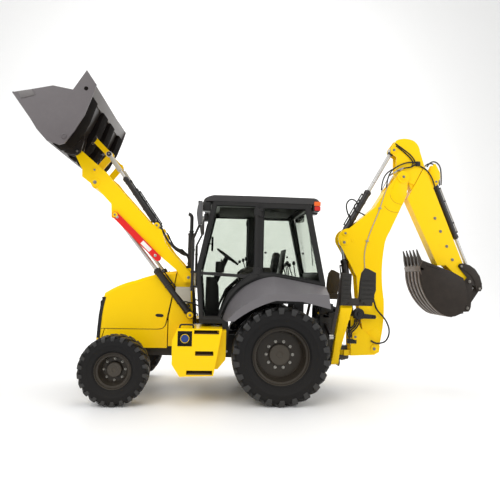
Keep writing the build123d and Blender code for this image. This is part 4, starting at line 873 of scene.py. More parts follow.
# The near-black colour mixed in here is painted shade for the back and bowl between the side plates.
painted_back_shade = mix_colour(tree, near_side.outputs["Result"], (0.024, 0.019, 0.016, 1.0), painted)
tree.links.new(painted_back_shade, shader.inputs["Base Color"])
finish_nodes(bucket_grey, "loader_bucket")
bm = bmesh.new()
add_plate(bm, ((-3.426, 4.022), (-3.412, 4.036), (-3.262, 3.832), (-3.276, 3.816)), -1.108, 1.108, 0.003)
for side in (-1, 1):
    add_plate(bm, ((-3.345, 4.03), (-3.175, 4.066), (-3.128, 3.995), (-3.15, 3.985), (-3.3, 3.94)), side * 1.129,
              side * 1.139, 0.003)
put(bm, "bucket_edges", "loader_bucket", bucket_edge)
bm = bmesh.new()
for side in (-1, 1):
    add_turned(bm, ((0, 0.038), (0.007, 0.038), (0.009, 0.034), (0.009, 0.022), (0.003, 0.02), (0.003, 0)),
               (-2.747, side * 1.129, 3.471), "Y", 28, side)
put(bm, "bucket_drain_bosses", "loader_bucket", bucket_grey)
bm = bmesh.new()
for side in (-1, 1):
    add_turned(bm, ((-0.001, 0.027), (0.002, 0.027), (0.003, 0.025), (0.003, 0)), (-2.489, side * 1.13, 4.111),
               "Y", 28, side)
# The wide ribs carry the near-black painted shade across the bucket's back.
back = ((-2.905, 3.4), (-2.69, 3.558), (-2.565, 3.793), (-2.45, 4.043), (-2.408, 4.022), (-2.5, 3.752),
        (-2.61, 3.525), (-2.735, 3.378), (-2.8, 3.358), (-2.88, 3.36))
for low, high in ((-1.11, -0.8), (-0.395, -0.105), (0.105, 0.395), (0.8, 1.11)):
    add_plate(bm, back, low, high, 0.006)
put(bm, "bucket_back_ribs", "loader_bucket", bucket_rib_shade)
bm = bmesh.new()
add_plate(bm, ((-2.462, 4.03), (-2.386, 4.178), (-2.372, 4.17), (-2.44, 4.02)), -1.108, 1.108, 0.003)
put(bm, "bucket_top_strip", "loader_bucket", bucket_edge)
repeat(hex_item(0.017, 0.014), "cutting_edge_bolts", "loader_bucket", zinc, 9,
       (-3.31, -1.0, 3.88), shift=(0, 0.25, 0), sharp=0.4)

# Exhaust: a black silencer with a slanted tail pipe that is open at its end. It is rolled from steel sheet
# in heat-proof black, and clamp bands and a bracket hold it to the left tower.
exhaust_black = finish_of("exhaust_heat_black", (0.012, 0.011, 0.0105), (0.06, 0.035, 0.022), 0.55, wear=0.5,
                          dust=0.0, patch=12.0)
finish_nodes(exhaust_black, "exhaust")
bm = bmesh.new()
for z in (1.87, 2.08, 2.29):
    add_turned(bm, ((0, 0.047), (0.002, 0.051), (0.02, 0.051), (0.022, 0.047)), (-1.105, -0.395, z), "Z", 28)
add_turned(bm, ((0, 0.027), (0.004, 0.036), (0.024, 0.036), (0.028, 0.027)), (-1.105, -0.395, 2.33), "Z", 24)
add_block(bm, (-1.17, -0.42, 1.81), (-1.06, -0.365, 1.845), 0.004)
put(bm, "exhaust_clamps", "root", exhaust_black)

# Cab: a black welded frame with glass on all sides, two framed doors hung on the rear posts, and a slate
# grey roof cap. Rubber seals edge the glass; lamps, wipers, handles and mirrors are bolted on.
cab_black = finish_of("cab_frame_black", (0.0135, 0.0128, 0.0122), (0.035, 0.033, 0.031), 0.34, wear=0.15,
                      dust=0.08, specular=0.35)
roof_grey = finish_of("roof_slate", (0.036, 0.034, 0.034), (0.055, 0.052, 0.052), 0.36, wear=0.2, dust=0.0,
                      coat=0.1, specular=0.35)
fender_grey = finish_of("fender_slate", (0.135, 0.127, 0.133), (0.19, 0.18, 0.185), 0.34, wear=0.25, dust=0.05,
                        coat=0.15, patch=3.0)
finish_nodes(cab_black, "cab_frame", "left_door", "right_door", "mirrors")
finish_nodes(roof_grey, "cab_roof")
finish_nodes(fender_grey, "rear_fenders")
seal = finish_of("rubber_seal", (0.006, 0.006, 0.006), (0.012, 0.012, 0.012), 0.6, wear=0.2, dust=0.0, grain=900.0)


def add_loop(bm, outline, y, radius):
    """A thin round bead along a closed X, Z outline."""
    for (ax, az), (bx, bz) in zip(outline, outline[1:] + outline[:1]):
        add_rod(bm, (ax, y, az), (bx, y, bz), radius, 8)


door_window = [(-0.905, 1.16), (-0.955, 1.757), (-0.755, 2.69), (-0.215, 2.69), (-0.215, 1.79), (-0.34, 1.7),
               (-0.56, 1.49), (-0.7, 1.16)]
side_window = [(-0.095, 2.675), (0.49, 2.675), (0.712, 1.662), (0.06, 1.768), (-0.095, 1.775)]
for side, hand in ((-1, "left"), (1, "right")):
    bm = bmesh.new()
    add_loop(bm, door_window, side * 0.8065, 0.009)
    put(bm, f"{hand}_door_seal", f"{hand}_door", seal, sharp=0.7)
    bm = bmesh.new()
    add_plate(bm, ((-0.95, 1.725), (-0.949, 1.768), (-0.34, 1.738), (-0.262, 1.76), (-0.262, 1.722),
                   (-0.33, 1.692)), side * 0.78, side * 0.812, 0.004)
    add_block(bm, (-0.9, side * 0.812, 1.735), (-0.865, side * 0.842, 1.76), 0.004)
    add_block(bm, (-0.78, side * 0.812, 1.73), (-0.745, side * 0.842, 1.755), 0.004)
    add_block(bm, (-0.91, side * 0.834, 1.728), (-0.735, side * 0.85, 1.762), 0.006)
    for z in (1.793, 2.606):
        add_block(bm, (-0.235, side * 0.806, z - 0.045), (-0.155, side * 0.814, z + 0.045), 0.003)
    put(bm, f"{hand}_door_fittings", f"{hand}_door", cab_black)
    hoses(f"{hand}_door_grab", f"{hand}_door", [
        [(-0.925, side * 0.79, 1.3), (-0.915, side * 0.765, 1.32), (-0.93, side * 0.76, 1.5),
         (-0.955, side * 0.765, 1.66), (-0.957, side * 0.79, 1.68)]
    ], 0.01)
bm = bmesh.new()
for side in (-1, 1):
    add_loop(bm, side_window, side * 0.7605, 0.008)
    for share in (0.06, 0.94):
        x = -0.095 + share * 0.6
        add_turned(bm, ((0, 0.016), (0.01, 0.016), (0.014, 0.01), (0.014, 0)), (x, side * 0.738, 2.05), "Y", 16,
                   side)
for x0, z0, x1, z1 in ((-1.0, 1.806, -0.816, 2.681), (0.746, 1.786, 0.586, 2.681)):
    for a, b in (((x0, -0.689, z0), (x1, -0.689, z1)), ((x0, 0.689, z0), (x1, 0.689, z1)),
                 ((x0, -0.689, z0), (x0, 0.689, z0)), ((x1, -0.689, z1), (x1, 0.689, z1))):
        add_rod(bm, a, b, 0.009, 8)
put(bm, "window_seals", "root", seal, sharp=0.7)
bm = bmesh.new()
for side in (-1, 1):
    add_plate(bm, ((-1.017, 1.78), (-1.008, 1.775), (-0.806, 2.7), (-0.816, 2.705)), side * 0.735, side * 0.757,
              0.003)
add_block(bm, (-0.885, -0.7, 2.7), (-0.79, 0.7, 2.744), 0.012)
put(bm, "cab_post_trim", "root", cab_black)
bm, lens, glow, red = (bmesh.new() for k in range(4))
for side in (-1, 1):
    add_block(bm, (-0.95, side * 0.6, 2.61), (-0.835, side * 0.76, 2.735), 0.014)
    add_block(lens, (-0.956, side * 0.615, 2.625), (-0.946, side * 0.745, 2.72), 0.008)
    add_block(bm, (0.615, side * 0.44, 2.625), (0.705, side * 0.58, 2.738), 0.014)
    add_block(lens, (0.702, side * 0.455, 2.638), (0.71, side * 0.565, 2.726), 0.008)
    add_block(glow, (0.61, side * 0.7, 2.722), (0.706, side * 0.782, 2.785), 0.012)
    add_block(red, (0.618, side * 0.7, 2.655), (0.704, side * 0.78, 2.718), 0.01)
    add_block(bm, (0.6, side * 0.69, 2.64), (0.69, side * 0.772, 2.795), 0.012)
    add_rod(bm, (-0.89, side * 0.68, 2.73), (-0.89, side * 0.68, 2.75), 0.012, 10)
put(bm, "work_lamp_housings", "root", cab_black)
put(lens, "work_lamp_lenses", "root", lamp_glass)
amber = finish_of("amber_lens", (0.8, 0.13, 0.01), (0.6, 0.08, 0.01), 0.15, wear=0.1, dust=0.0, coat=0.6)
put(glow, "turn_lamps", "root", amber)
red_lens = finish_of("red_lens", (0.55, 0.012, 0.008), (0.4, 0.01, 0.01), 0.15, wear=0.1, dust=0.0, coat=0.5)
put(red, "tail_lamps", "root", red_lens)
hoses("wipers", "root", [
    [(-1.022, 0.0, 1.8), (-0.985, 0.08, 2.02), (-0.945, 0.16, 2.22)],
    [(-0.972, 0.12, 2.08), (-0.93, 0.17, 2.3), (-0.885, 0.22, 2.52)],
    [(0.765, 0.0, 1.9), (0.735, -0.06, 2.1), (0.715, -0.1, 2.25)],
    [(0.735, -0.08, 2.12), (0.7, -0.12, 2.32), (0.66, -0.16, 2.5)],
], 0.008)
bm = bmesh.new()
for side in (-1, 1):
    head_outline = ((-0.955, 2.72), (-0.985, 2.706), (-1.012, 2.64), (-1.022, 2.54), (-1.008, 2.44),
                    (-0.985, 2.395), (-0.955, 2.4), (-0.944, 2.44), (-0.944, 2.69))
    add_plate(bm, head_outline, side * 0.895 - 0.08, side * 0.895 + 0.08, 0.008)
mirror_grey = finish_of("mirror_shell_grey", (0.085, 0.083, 0.085), (0.1, 0.1, 0.1), 0.4, wear=0.1, dust=0.0)
put(bm, "mirror_shells", "root", mirror_grey)
bm = bmesh.new()
for side in (-1, 1):
    add_block(bm, (-0.9445, side * 0.895 - 0.064, 2.425), (-0.9415, side * 0.895 + 0.064, 2.695), 0.001)
put(bm, "mirror_faces", "root", chrome)

# Glass: flat tempered panes in the doors and all round the cab, glued into rubber seals.
# They are clear with a faint green-grey tint and slight smears.
glass = bpy.data.materials.new("cab_glass_tint")
glass.use_nodes = True
tree = glass.node_tree
shader = tree.nodes["Principled BSDF"]
smear = noise_node(tree, tree.nodes.new("ShaderNodeTexCoord").outputs["Object"], 3.0, 3.0)
tree.links.new(mix_colour(tree, smear, (0.62, 0.655, 0.605, 1), (0.69, 0.72, 0.68, 1)), shader.inputs["Base Color"])
for label, value in (("Roughness", 0.02), ("Transmission Weight", 1.0), ("IOR", 1.08)):
    shader.inputs[label].default_value = value
finish_nodes(glass, "cab_glass", "left_door_glass", "right_door_glass")

# Fender edges: a black rubber lip is pressed over the seam between each fender and the cab. Black mud guards
# are bolted below, and the tubes that carry the mirrors stand in clamps on the front posts.
hoses("fender_seams", "root", [
    [(x, side * 0.766, z) for x, z in (
        (-0.645, 1.125), (-0.6, 1.33), (-0.45, 1.53), (-0.2, 1.67), (0.06, 1.735), (0.3, 1.695), (0.786, 1.604))]
    for side in (-1, 1)
], 0.012, seal)
bm = bmesh.new()
for side in (-1, 1):
    add_plate(bm, ((-0.64, 1.115), (-0.56, 1.115), (-0.54, 0.96), (-0.56, 0.76), (-0.64, 0.76)), side * 0.42,
              side * 0.758, 0.006)
    add_rod(bm, (-1.062, side * 0.79, 1.5), (-1.062, side * 0.79, 2.205), 0.021, 16)
    for z in (1.56, 1.76, 2.06):
        add_turned(bm, ((0, 0.021), (0.002, 0.026), (0.03, 0.026), (0.032, 0.021)),
                   (-1.062, side * 0.79, z - 0.016), "Z", 18)
put(bm, "mud_guards_and_mirror_posts", "root", cab_black)

# Operator's place: a moulded plastic dash and column with a three-spoke wheel and its spinner knob. Two
# armrest consoles carry the levers; pedals, an inside mirror and the roof's lining are screwed on.
plastic = finish_of("dash_plastic", (0.014, 0.0135, 0.013), (0.03, 0.03, 0.03), 0.5, wear=0.2, dust=0.0,
                    grain=900.0, bump=0.1)
lining = finish_of("roof_lining", (0.0065, 0.006, 0.005), (0.012, 0.011, 0.01), 0.7, wear=0.2, dust=0.0,
                   specular=0.1)
console = finish_of("console_brown_grey", (0.045, 0.038, 0.032), (0.07, 0.06, 0.05), 0.5, wear=0.2, dust=0.0,
                    grain=900.0, bump=0.1)
bm = bmesh.new()
add_plate(bm, ((-0.89, 1.112), (-0.67, 1.112), (-0.69, 1.56), (-0.74, 1.69), (-0.88, 1.698)), -0.168, 0.168, 0.02)
add_rod(bm, (-0.76, 0, 1.6), (-0.58, 0, 1.985), 0.052, 20, 0.036)
add_block(bm, (-0.745, -0.075, 1.76), (-0.61, 0.075, 1.93), 0.02)
for side in (-1, 1):
    add_rod(bm, (-0.64, side * 0.05, 1.9), (-0.66, side * 0.19, 1.96), 0.008, 10)
    add_block(bm, (-0.66, side * 0.1 - 0.03, 1.13), (-0.6, side * 0.1 + 0.03, 1.17), 0.006)
put(bm, "dash_and_column", "root", plastic, sharp=0.6)
bm = bmesh.new()
tilt = Vector((0.581, 0, 0.814))
first = Vector((0, 1, 0))
second = tilt.cross(first)
wheel_middle = Vector((-0.56, 0, 2.005))
rim_section = 10
rim_steps = 48
loops = []
for k in range(rim_steps):
    turn = 2 * math.pi * k / rim_steps
    spoke = first * math.cos(turn) + second * math.sin(turn)
    loops.append([bm.verts.new(wheel_middle + spoke * (0.19 + 0.015 * math.cos(2 * math.pi * i / rim_section))
                               + tilt * 0.015 * math.sin(2 * math.pi * i / rim_section))
                  for i in range(rim_section)])
for k in range(rim_steps):
    for i in range(rim_section):
        j = (i + 1) % rim_section
        bm.faces.new((loops[k][i], loops[k][j], loops[(k + 1) % rim_steps][j], loops[(k + 1) % rim_steps][i]))
bmesh.ops.recalc_face_normals(bm, faces=bm.faces)
for turn in (0, 120, 240):
    spoke = first * math.cos(math.radians(turn)) + second * math.sin(math.radians(turn))
    add_rod(bm, wheel_middle - tilt * 0.02 + spoke * 0.03, wheel_middle + spoke * 0.186, 0.013, 10, 0.009)
add_turned(bm, ((-0.03, 0.03), (-0.01, 0.05), (0.008, 0.046), (0.014, 0.03), (0.014, 0)), wheel_middle,
           (tilt, first, second), 24)
knob = wheel_middle + second * -0.19
add_rod(bm, knob, knob + tilt * 0.03, 0.008, 10)
add_turned(bm, ((0, 0.012), (0.012, 0.024), (0.03, 0.024), (0.042, 0.012), (0.044, 0)), knob + tilt * 0.03,
           (tilt, first, second), 16)
wheel = put(bm, "steering_wheel", "root", plastic, sharp=0.7)
bm = bmesh.new()
levers = bmesh.new()
for side in (-1, 1):
    add_plate(bm, ((0.32, 1.396), (0.54, 1.396), (0.54, 1.56), (0.5, 1.584), (0.34, 1.584), (0.32, 1.56)),
              side * 0.23, side * 0.43, 0.012)
    add_plate(bm, ((-0.36, 1.62), (0.02, 1.64), (0.08, 1.72), (0.06, 1.85), (-0.3, 1.845), (-0.4, 1.77)),
              side * 0.3, side * 0.42, 0.025)
    add_block(bm, (-0.28, side * 0.32, 1.38), (-0.1, side * 0.4, 1.64), 0.02)
    for k, (x, y) in enumerate(((0.36, 0.27), (0.36, 0.36), (0.45, 0.3), (0.45, 0.39))):
        tip = (x - 0.1 + 0.05 * (k % 2), side * y, 1.86 + 0.03 * (k % 2))
        add_rod(levers, (x, side * y, 1.57), tip, 0.008, 10)
        add_turned(levers, ((0, 0.01), (0.014, 0.022), (0.04, 0.024), (0.06, 0.014), (0.064, 0)), tip, "Z", 14)
        add_turned(levers, ((0, 0.024), (0.02, 0.02), (0.05, 0.01)), (x, side * y, 1.575), "Z", 14)
    add_rod(levers, (-0.26, side * 0.35, 1.83), (-0.3, side * 0.35, 1.95), 0.008, 10)
    add_turned(levers, ((0, 0.012), (0.02, 0.022), (0.05, 0.022), (0.065, 0)), (-0.3, side * 0.35, 1.94), "Z", 14)
put(bm, "armrest_consoles", "root", console, sharp=0.6)
put(levers, "control_levers", "root", plastic, sharp=0.6)
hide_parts("cab_controls")
bm = bmesh.new()
add_block(bm, (-0.815, -0.66, 2.06), (-0.785, -0.54, 2.26), 0.012)
add_rod(bm, (-0.8, -0.6, 2.16), (-0.9, -0.68, 2.16), 0.008, 8)
add_block(bm, (-0.7, -0.62, 2.685), (0.44, 0.62, 2.735), 0.02)
put(bm, "inside_mirror_and_lining", "root", lining, sharp=0.6)

# Seat: two thick vinyl cushions on a folded shell over a suspension box. The cushions swell between sewn
# channels and are bordered by piping.
vinyl = finish_of("seat_vinyl", (0.02, 0.0195, 0.02), (0.04, 0.04, 0.04), 0.55, wear=0.3, dust=0.0, grain=900.0,
                  bump=0.1)
bm = bmesh.new()
add_block(bm, (-0.222, -0.162, 1.396), (0.102, 0.162, 1.47), 0.02)
for level in (1.405, 1.425, 1.445):
    add_block(bm, (-0.228, -0.168, level), (0.108, 0.168, level + 0.008), 0.003)
add_plate(bm, ((-0.325, 1.47), (0.16, 1.47), (0.235, 1.56), (0.306, 2.12), (0.29, 2.132), (0.215, 1.6),
               (0.15, 1.5), (-0.325, 1.492)), -0.235, 0.235, 0.008)
shell_piece = put(bm, "seat_shell", "root", plastic, sharp=0.6)
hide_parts("operator_seat")


swell_frames = 20


def cushion(name, start, end, thickness, half_width, crown, channels):
    """A padded slab along a run: blown up by cloth pressure, then its sewn channels are drawn in."""
    start, end = Vector(start), Vector(end)
    run = (end - start).normalized()
    up = Vector((-run.z, 0, run.x))
    length = (end - start).length
    bm = bmesh.new()
    bmesh.ops.create_cube(bm, size=1.0)
    bmesh.ops.subdivide_edges(bm, edges=bm.edges[:], cuts=3, use_grid_fill=True)
    before_swelling, corner_pull = 0.88, 0.1
    for vert in bm.verts:
        u, v, w = vert.co
        pull = 1 - corner_pull * (abs(u * 2) ** 3) * (abs(v * 2) ** 3)
        vert.co = (
            start + run * (length * (0.5 + u * before_swelling * pull))
            + Vector((0, 2 * half_width * v * before_swelling * pull, 0))
            + up * (thickness * (0.5 + w * before_swelling))
        )
    piece = bpy.data.objects.new(name, mesh_from(bm, name))
    scene.collection.objects.link(piece)
    remesh = piece.modifiers.new("even", "REMESH")
    remesh.mode = "VOXEL"
    remesh.voxel_size = 0.006
    dense = plain_mesh(piece)
    piece.modifiers.clear()
    piece.data = dense
    rest = [v.co.copy() for v in dense.vertices]
    cloth = piece.modifiers.new("swell", "CLOTH")
    cloth.settings.use_pressure = True
    cloth.settings.uniform_pressure_force = 4.0
    cloth.settings.effector_weights.gravity = 0.0
    cloth.settings.quality = 5
    cloth.point_cache.frame_start = 1
    cloth.point_cache.frame_end = swell_frames
    for step in range(1, swell_frames + 1):
        scene.frame_set(step)
    swollen = plain_mesh(piece)
    piece.modifiers.clear()
    piece.data = swollen
    for vert, place in zip(swollen.vertices, rest):
        move = vert.co - place
        if move.length > crown:
            vert.co = place + move.normalized() * crown
    scene.frame_set(1)
    groove_depth, groove_half, side_groove, side_groove_half, grooved_above = 0.009, 0.014, 0.62, 0.03, 0.45
    for vert in piece.data.vertices:
        along_share = (vert.co - start).dot(run) / length
        side_share = vert.co.y / half_width
        if (vert.co - start).dot(up) / thickness < grooved_above:
            continue
        grooves = [math.exp(-((along_share - c) / groove_half) ** 2) for c in channels]
        grooves.append(math.exp(-((abs(side_share) - side_groove) / side_groove_half) ** 2))
        vert.co -= up * groove_depth * max(grooves)
    smooth = piece.modifiers.new("fine", "SUBSURF")
    smooth.levels = 1
    fine = plain_mesh(piece)
    piece.modifiers.clear()
    piece.data = fine
    fine.shade_smooth()
    fine.materials.clear()
    fine.materials.append(vinyl)
    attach(piece, "root")
    return piece


cushion("seat_cushion", (-0.325, 0, 1.495), (0.135, 0, 1.51), 0.088, 0.24, 0.012, (0.3, 0.52, 0.74))
cushion("seat_back_cushion", (0.15, 0, 1.6), (0.232, 0, 2.125), 0.072, 0.232, 0.012, (0.22, 0.4, 0.58, 0.78))
hoses("seat_piping", "root", [
    [(-0.325, -0.235, 1.494), (-0.333, -0.1, 1.494), (-0.333, 0.1, 1.494), (-0.325, 0.235, 1.494)],
], 0.005, plastic)

# Swing post and backhoe frame: a yellow cast post turns on two upright pins in the black welded frame.
# Swing rams push it from both sides. A black valve block hangs behind the cab, and the post carries
# a second valve and a manifold on its left side, both with their hoses.
finish_nodes(yellow_paint, "swing_post")
bm = bmesh.new()
for z, up in ((0.4845, -1), (1.1905, 1)):
    add_turned(bm, ((0, 0.058), (0.012, 0.058), (0.018, 0.05), (0.018, 0.022), (0.03, 0.02), (0.031, 0)),
               (1.24, 0, z), "Z", 28, up)
put(bm, "swing_pins", "root", steel)
bm = bmesh.new()
for side in (-1, 1):
    add_block(bm, (0.82, side * 0.29, 0.5), (0.99, side * 0.3, 1.13), 0.004)
    for z in (0.62, 0.86, 1.04):
        add_turned(bm, ((0, 0.022), (0.01, 0.022), (0.012, 0.015), (0.018, 0.015), (0.019, 0)),
                   (0.9, side * 0.3, z), "Y", 14, side)
    add_plate(bm, ((0.82, 1.165), (0.96, 1.165), (0.9, 1.3), (0.82, 1.345)), side * 0.2, side * 0.23, 0.003)
    add_rod(bm, (1.05, side * 0.235, 0.845), (1.1, side * 0.235, 0.845), 0.03, 16)
put(bm, "frame_plates", "root", black_paint)
bm = bmesh.new()
add_block(bm, (0.84, -0.26, 1.205), (1.03, 0.26, 1.33), 0.012)
for k in range(7):
    y = -0.21 + 0.07 * k
    add_rod(bm, (1.03, y, 1.27), (1.055, y, 1.27), 0.02, 12)
    add_rod(bm, (0.93, y, 1.33), (0.93, y, 1.365), 0.017, 12)
put(bm, "backhoe_valve_block", "root", grille_black, sharp=0.6)
hoses("valve_hoses", "root", [
    [(1.05, -0.21 + 0.07 * k, 1.27), (1.1 + 0.008 * k, -0.21 + 0.07 * k, 1.275), (1.12, -0.16 + 0.055 * k, 1.2),
     (1.1, -0.12 + 0.045 * k, 1.02), (1.095, -0.1 + 0.035 * k, 0.9)] for k in range(7)
] + [
    [(0.93, -0.21 + 0.07 * k, 1.36), (0.93, -0.2 + 0.07 * k, 1.42), (0.86, -0.19 + 0.065 * k, 1.46),
     (0.8, -0.18 + 0.06 * k, 1.4), (0.795, -0.18 + 0.06 * k, 1.1)] for k in range(6)
], 0.014)
bm = bmesh.new()
add_turned(bm, ((0, 0.08), (0.01, 0.084), (0.075, 0.084), (0.085, 0.075), (0.085, 0.03), (0.105, 0.026),
                (0.106, 0)), (1.434, -0.15, 1.183), "Y", 28, -1)
add_plate(bm, ((1.36, 1.115), (1.345, 1.215), (1.4, 1.262), (1.47, 1.255), (1.52, 1.185), (1.7, 1.168),
               (1.712, 1.135), (1.695, 1.108), (1.52, 1.112), (1.44, 1.098)), -0.205, -0.165, 0.008)
add_turned(bm, ((0, 0.022), (0.014, 0.022), (0.016, 0.014), (0.016, 0)), (1.68, -0.205, 1.138), "Y", 16, -1)
for k in range(3):
    add_rod(bm, (1.385 + 0.035 * k, -0.19, 1.1), (1.38 + 0.03 * k, -0.19, 1.055), 0.013, 10)
put(bm, "swing_valve", "swing_post", grille_black)
pin_ends("post_pins", "swing_post", ((1.695, 0.655, 0.148, 0.056), (1.4, 0.83, 0.148, 0.046)))
hoses("post_hoses", "swing_post", [
    [(1.385 + 0.035 * k, -0.19, 1.06), (1.37 + 0.03 * k, -0.192, 1.0),
     (1.31 + 0.03 * k, -0.185, 0.97 - 0.02 * k), (1.27 + 0.03 * k, -0.175, 0.9), (1.3 + 0.02 * k, -0.16, 0.82)]
    for k in range(3)
], 0.011)
bm = bmesh.new()
add_block(bm, (1.285, -0.15, 0.728), (1.425, -0.105, 0.8), 0.006)
for k in range(3):
    add_turned(bm, ((0, 0.014), (0.012, 0.014), (0.015, 0.009), (0.015, 0)), (1.315 + 0.04 * k, -0.15, 0.764),
               "Y", 12, -1)
put(bm, "post_manifold", "swing_post", grille_black)
hoses("foot_loop", "boom", [
    [(1.672, -0.122, 1.46), (1.691, -0.135, 1.386), (1.725, -0.142, 1.247), (1.87, -0.15, 1.11),
     (1.945, -0.152, 0.929), (1.89, -0.15, 0.765), (1.763, -0.165, 0.735), (1.7, -0.168, 0.74),
     (1.642, -0.16, 0.777)]
], 0.0125, far_body="swing_post")

# Boom: two yellow side plates with a web between, bowed over the swing post. A steel pipe is clipped along
# either side, and welded reinforcement plates carry the pins.
finish_nodes(yellow_paint, "boom", "dipper", "dipper_extension")
pin_ends("boom_pins", "boom", ((1.222, 2.27, 0.105, 0.052), (1.24, 2.41, 0.105, 0.042), (2.15, 3.318, 0.121, 0.05)))
pipe_grey = finish_of("pipe_grey", (0.4, 0.37, 0.33), (0.25, 0.22, 0.19), 0.4, wear=0.4, dust=0.0, metallic=0.3)
boom_run = ((1.985, 3.33), (1.94, 3.25), (1.894, 3.15), (1.848, 3.03), (1.766, 2.765), (1.693, 2.59),
            (1.611, 2.389), (1.557, 2.204), (1.539, 2.06), (1.548, 1.913), (1.575, 1.7), (1.61, 1.48))
hoses("boom_pipes", "boom", [[(x, side * 0.1115, z) for x, z in boom_run] for side in (-1, 1)], 0.0065, pipe_grey)
bm = bmesh.new()
for side in (-1, 1):
    for x, z in ((1.782, 2.815), (1.585, 2.3), (1.556, 1.86)):
        add_block(bm, (x - 0.024, side * 0.104, z - 0.01), (x + 0.024, side * 0.123, z + 0.01), 0.003)
    for x, z in ((2.03, 3.395), (2.075, 3.425), (2.12, 3.44)):
        add_rod(bm, (x - 0.03, side * 0.118, z - 0.02), (x + 0.03, side * 0.118, z + 0.02), 0.013, 12)
put(bm, "boom_pipe_clips", "boom", pipe_grey, sharp=0.4)
bm = bmesh.new()
head_arc = ((1.944, 3.035), (1.954, 2.99), (1.973, 2.962), (2.0, 2.934), (2.03, 2.914), (2.072, 2.898),
            (2.115, 2.89), (2.15, 2.892))
for side in (-1, 1):
    add_plate(bm, ((2.226, 3.28), (2.196, 3.375), (2.13, 3.396), (2.058, 3.33)) + head_arc + ((2.2, 3.03),),
              side * 0.1045, side * 0.1105, 0.002)
    for x, z, radius in ((1.363, 2.309, 0.03), (1.222, 2.27, 0.06), (1.24, 2.41, 0.052)):
        add_turned(bm, ((-0.002, radius), (0.004, radius), (0.006, radius - 0.003), (0.006, 0.0)),
                   (x, side * 0.105, z), "Y", 36, side)
    add_plate(bm, ((1.62, 0.6), (1.7, 0.565), (1.765, 0.605), (1.78, 0.69), (1.81, 0.9), (1.72, 0.96),
                   (1.6, 0.9)), side * 0.104, side * 0.109, 0.002)
put(bm, "boom_doublers", "boom", yellow_paint, sharp=0.4)
seam = finish_of("weld_seam_ochre", (0.55, 0.31, 0.004), (0.4, 0.22, 0.01), 0.5, wear=0.3, dust=0.0)
weld_runs = [head_arc, (
    (1.857, 2.856), (1.88, 2.822), (1.908, 2.799), (1.95, 2.776), (1.993, 2.765), (2.04, 2.758), (2.085, 2.764))]
hoses("boom_weld_seams", "boom", [
    [(x, side * 0.1055, z) for x, z in run] for side in (-1, 1) for run in weld_runs
], 0.0045, seam)

# Dipper: a welded yellow box whose inner part slides out on wear pads. Adjuster plugs show along its sides,
# and rubber hoses loop round its head, held in black clamps.
pin_ends("dipper_pins", "dipper", ((2.004, 3.744, 0.088, 0.05),))
pin_ends("extension_pins", "dipper_extension", ((3.081, 1.944, 0.126, 0.028),), black_paint, 0.65)
bm = bmesh.new()
for side in (-1, 1):
    for x, z in ((2.671, 2.688), (2.762, 2.484), (2.863, 2.252), (2.955, 2.044)):
        add_turned(bm, ((0, 0.023), (0.004, 0.023), (0.006, 0.019), (0.006, 0.013), (0.016, 0.012), (0.017, 0)),
                   (x, side * 0.0965, z), "Y", 24, side)
put(bm, "wear_pad_plugs", "dipper_extension", steel)
bm = bmesh.new()
for side in (-1, 1):
    add_plate(bm, ((2.595, 3.405), (2.655, 3.545), (2.69, 3.56), (2.765, 3.42), (2.77, 3.33), (2.7, 3.22),
                   (2.62, 3.27)), side * 0.0605, side * 0.068, 0.002)
put(bm, "cylinder_ear_doublers", "dipper_extension", yellow_paint, sharp=0.4)
pin_ends("bucket_cylinder_pins", "dipper_extension", ((2.698, 3.27, 0.068, 0.04),))
for side, hand in ((-1, "left"), (1, "right")):
    y = side * 0.1
    hoses(f"{hand}_head_hoses", "boom", [
        [(1.88, y * 1.18, 3.14), (1.89, y * 1.2, 3.25), (1.93, y * 1.22, 3.37), (2.0, y * 1.2, 3.45),
         (2.157, y * 1.1, 3.536), (2.309, y * 1.02, 3.566), (2.4, y, 3.545)],
        [(2.05, y * 1.2, 3.405), (2.11, y * 1.22, 3.44), (2.19, y * 1.15, 3.465), (2.28, y * 1.03, 3.48),
         (2.345, y, 3.52), (2.39, y, 3.56)],
    ], 0.0105, far_body="dipper")
    hoses(f"{hand}_dipper_hoses", "dipper", [
        [(2.03, y * 0.86, 3.85), (2.1, y * 0.95, 3.8), (2.18, y * 0.95, 3.745), (2.27, y * 0.95, 3.68),
         (2.33, y * 0.96, 3.61), (2.35, y * 0.97, 3.55), (2.395, y * 0.97, 3.53)],
        [(2.04, y * 0.86, 3.815), (2.1, y * 0.97, 3.77), (2.17, y * 0.97, 3.715), (2.24, y * 0.97, 3.655),
         (2.3, y * 0.98, 3.59), (2.32, y * 0.98, 3.53), (2.29, y * 0.97, 3.49)],
    ], 0.0095)
    hoses(f"{hand}_extension_hoses", "dipper_extension", [
        [(2.43, y, 3.5), (2.5, y * 1.02, 3.47), (2.56, y * 1.03, 3.415), (2.62, y * 1.02, 3.32),
         (2.655, y * 1.01, 3.22), (2.672, y, 3.14)],
        [(2.545, y * 0.8, 3.5), (2.59, y * 0.75, 3.57), (2.68, y * 0.62, 3.6), (2.77, y * 0.52, 3.54),
         (2.8, y * 0.42, 3.4), (2.8, y * 0.3, 3.23)],
    ], 0.0105)
bm = bmesh.new()
for side in (-1, 1):
    add_block(bm, (2.355, side * 0.083, 3.5), (2.425, side * 0.116, 3.575), 0.008)
put(bm, "dipper_hose_clamps", "dipper", grille_black, sharp=0.4)
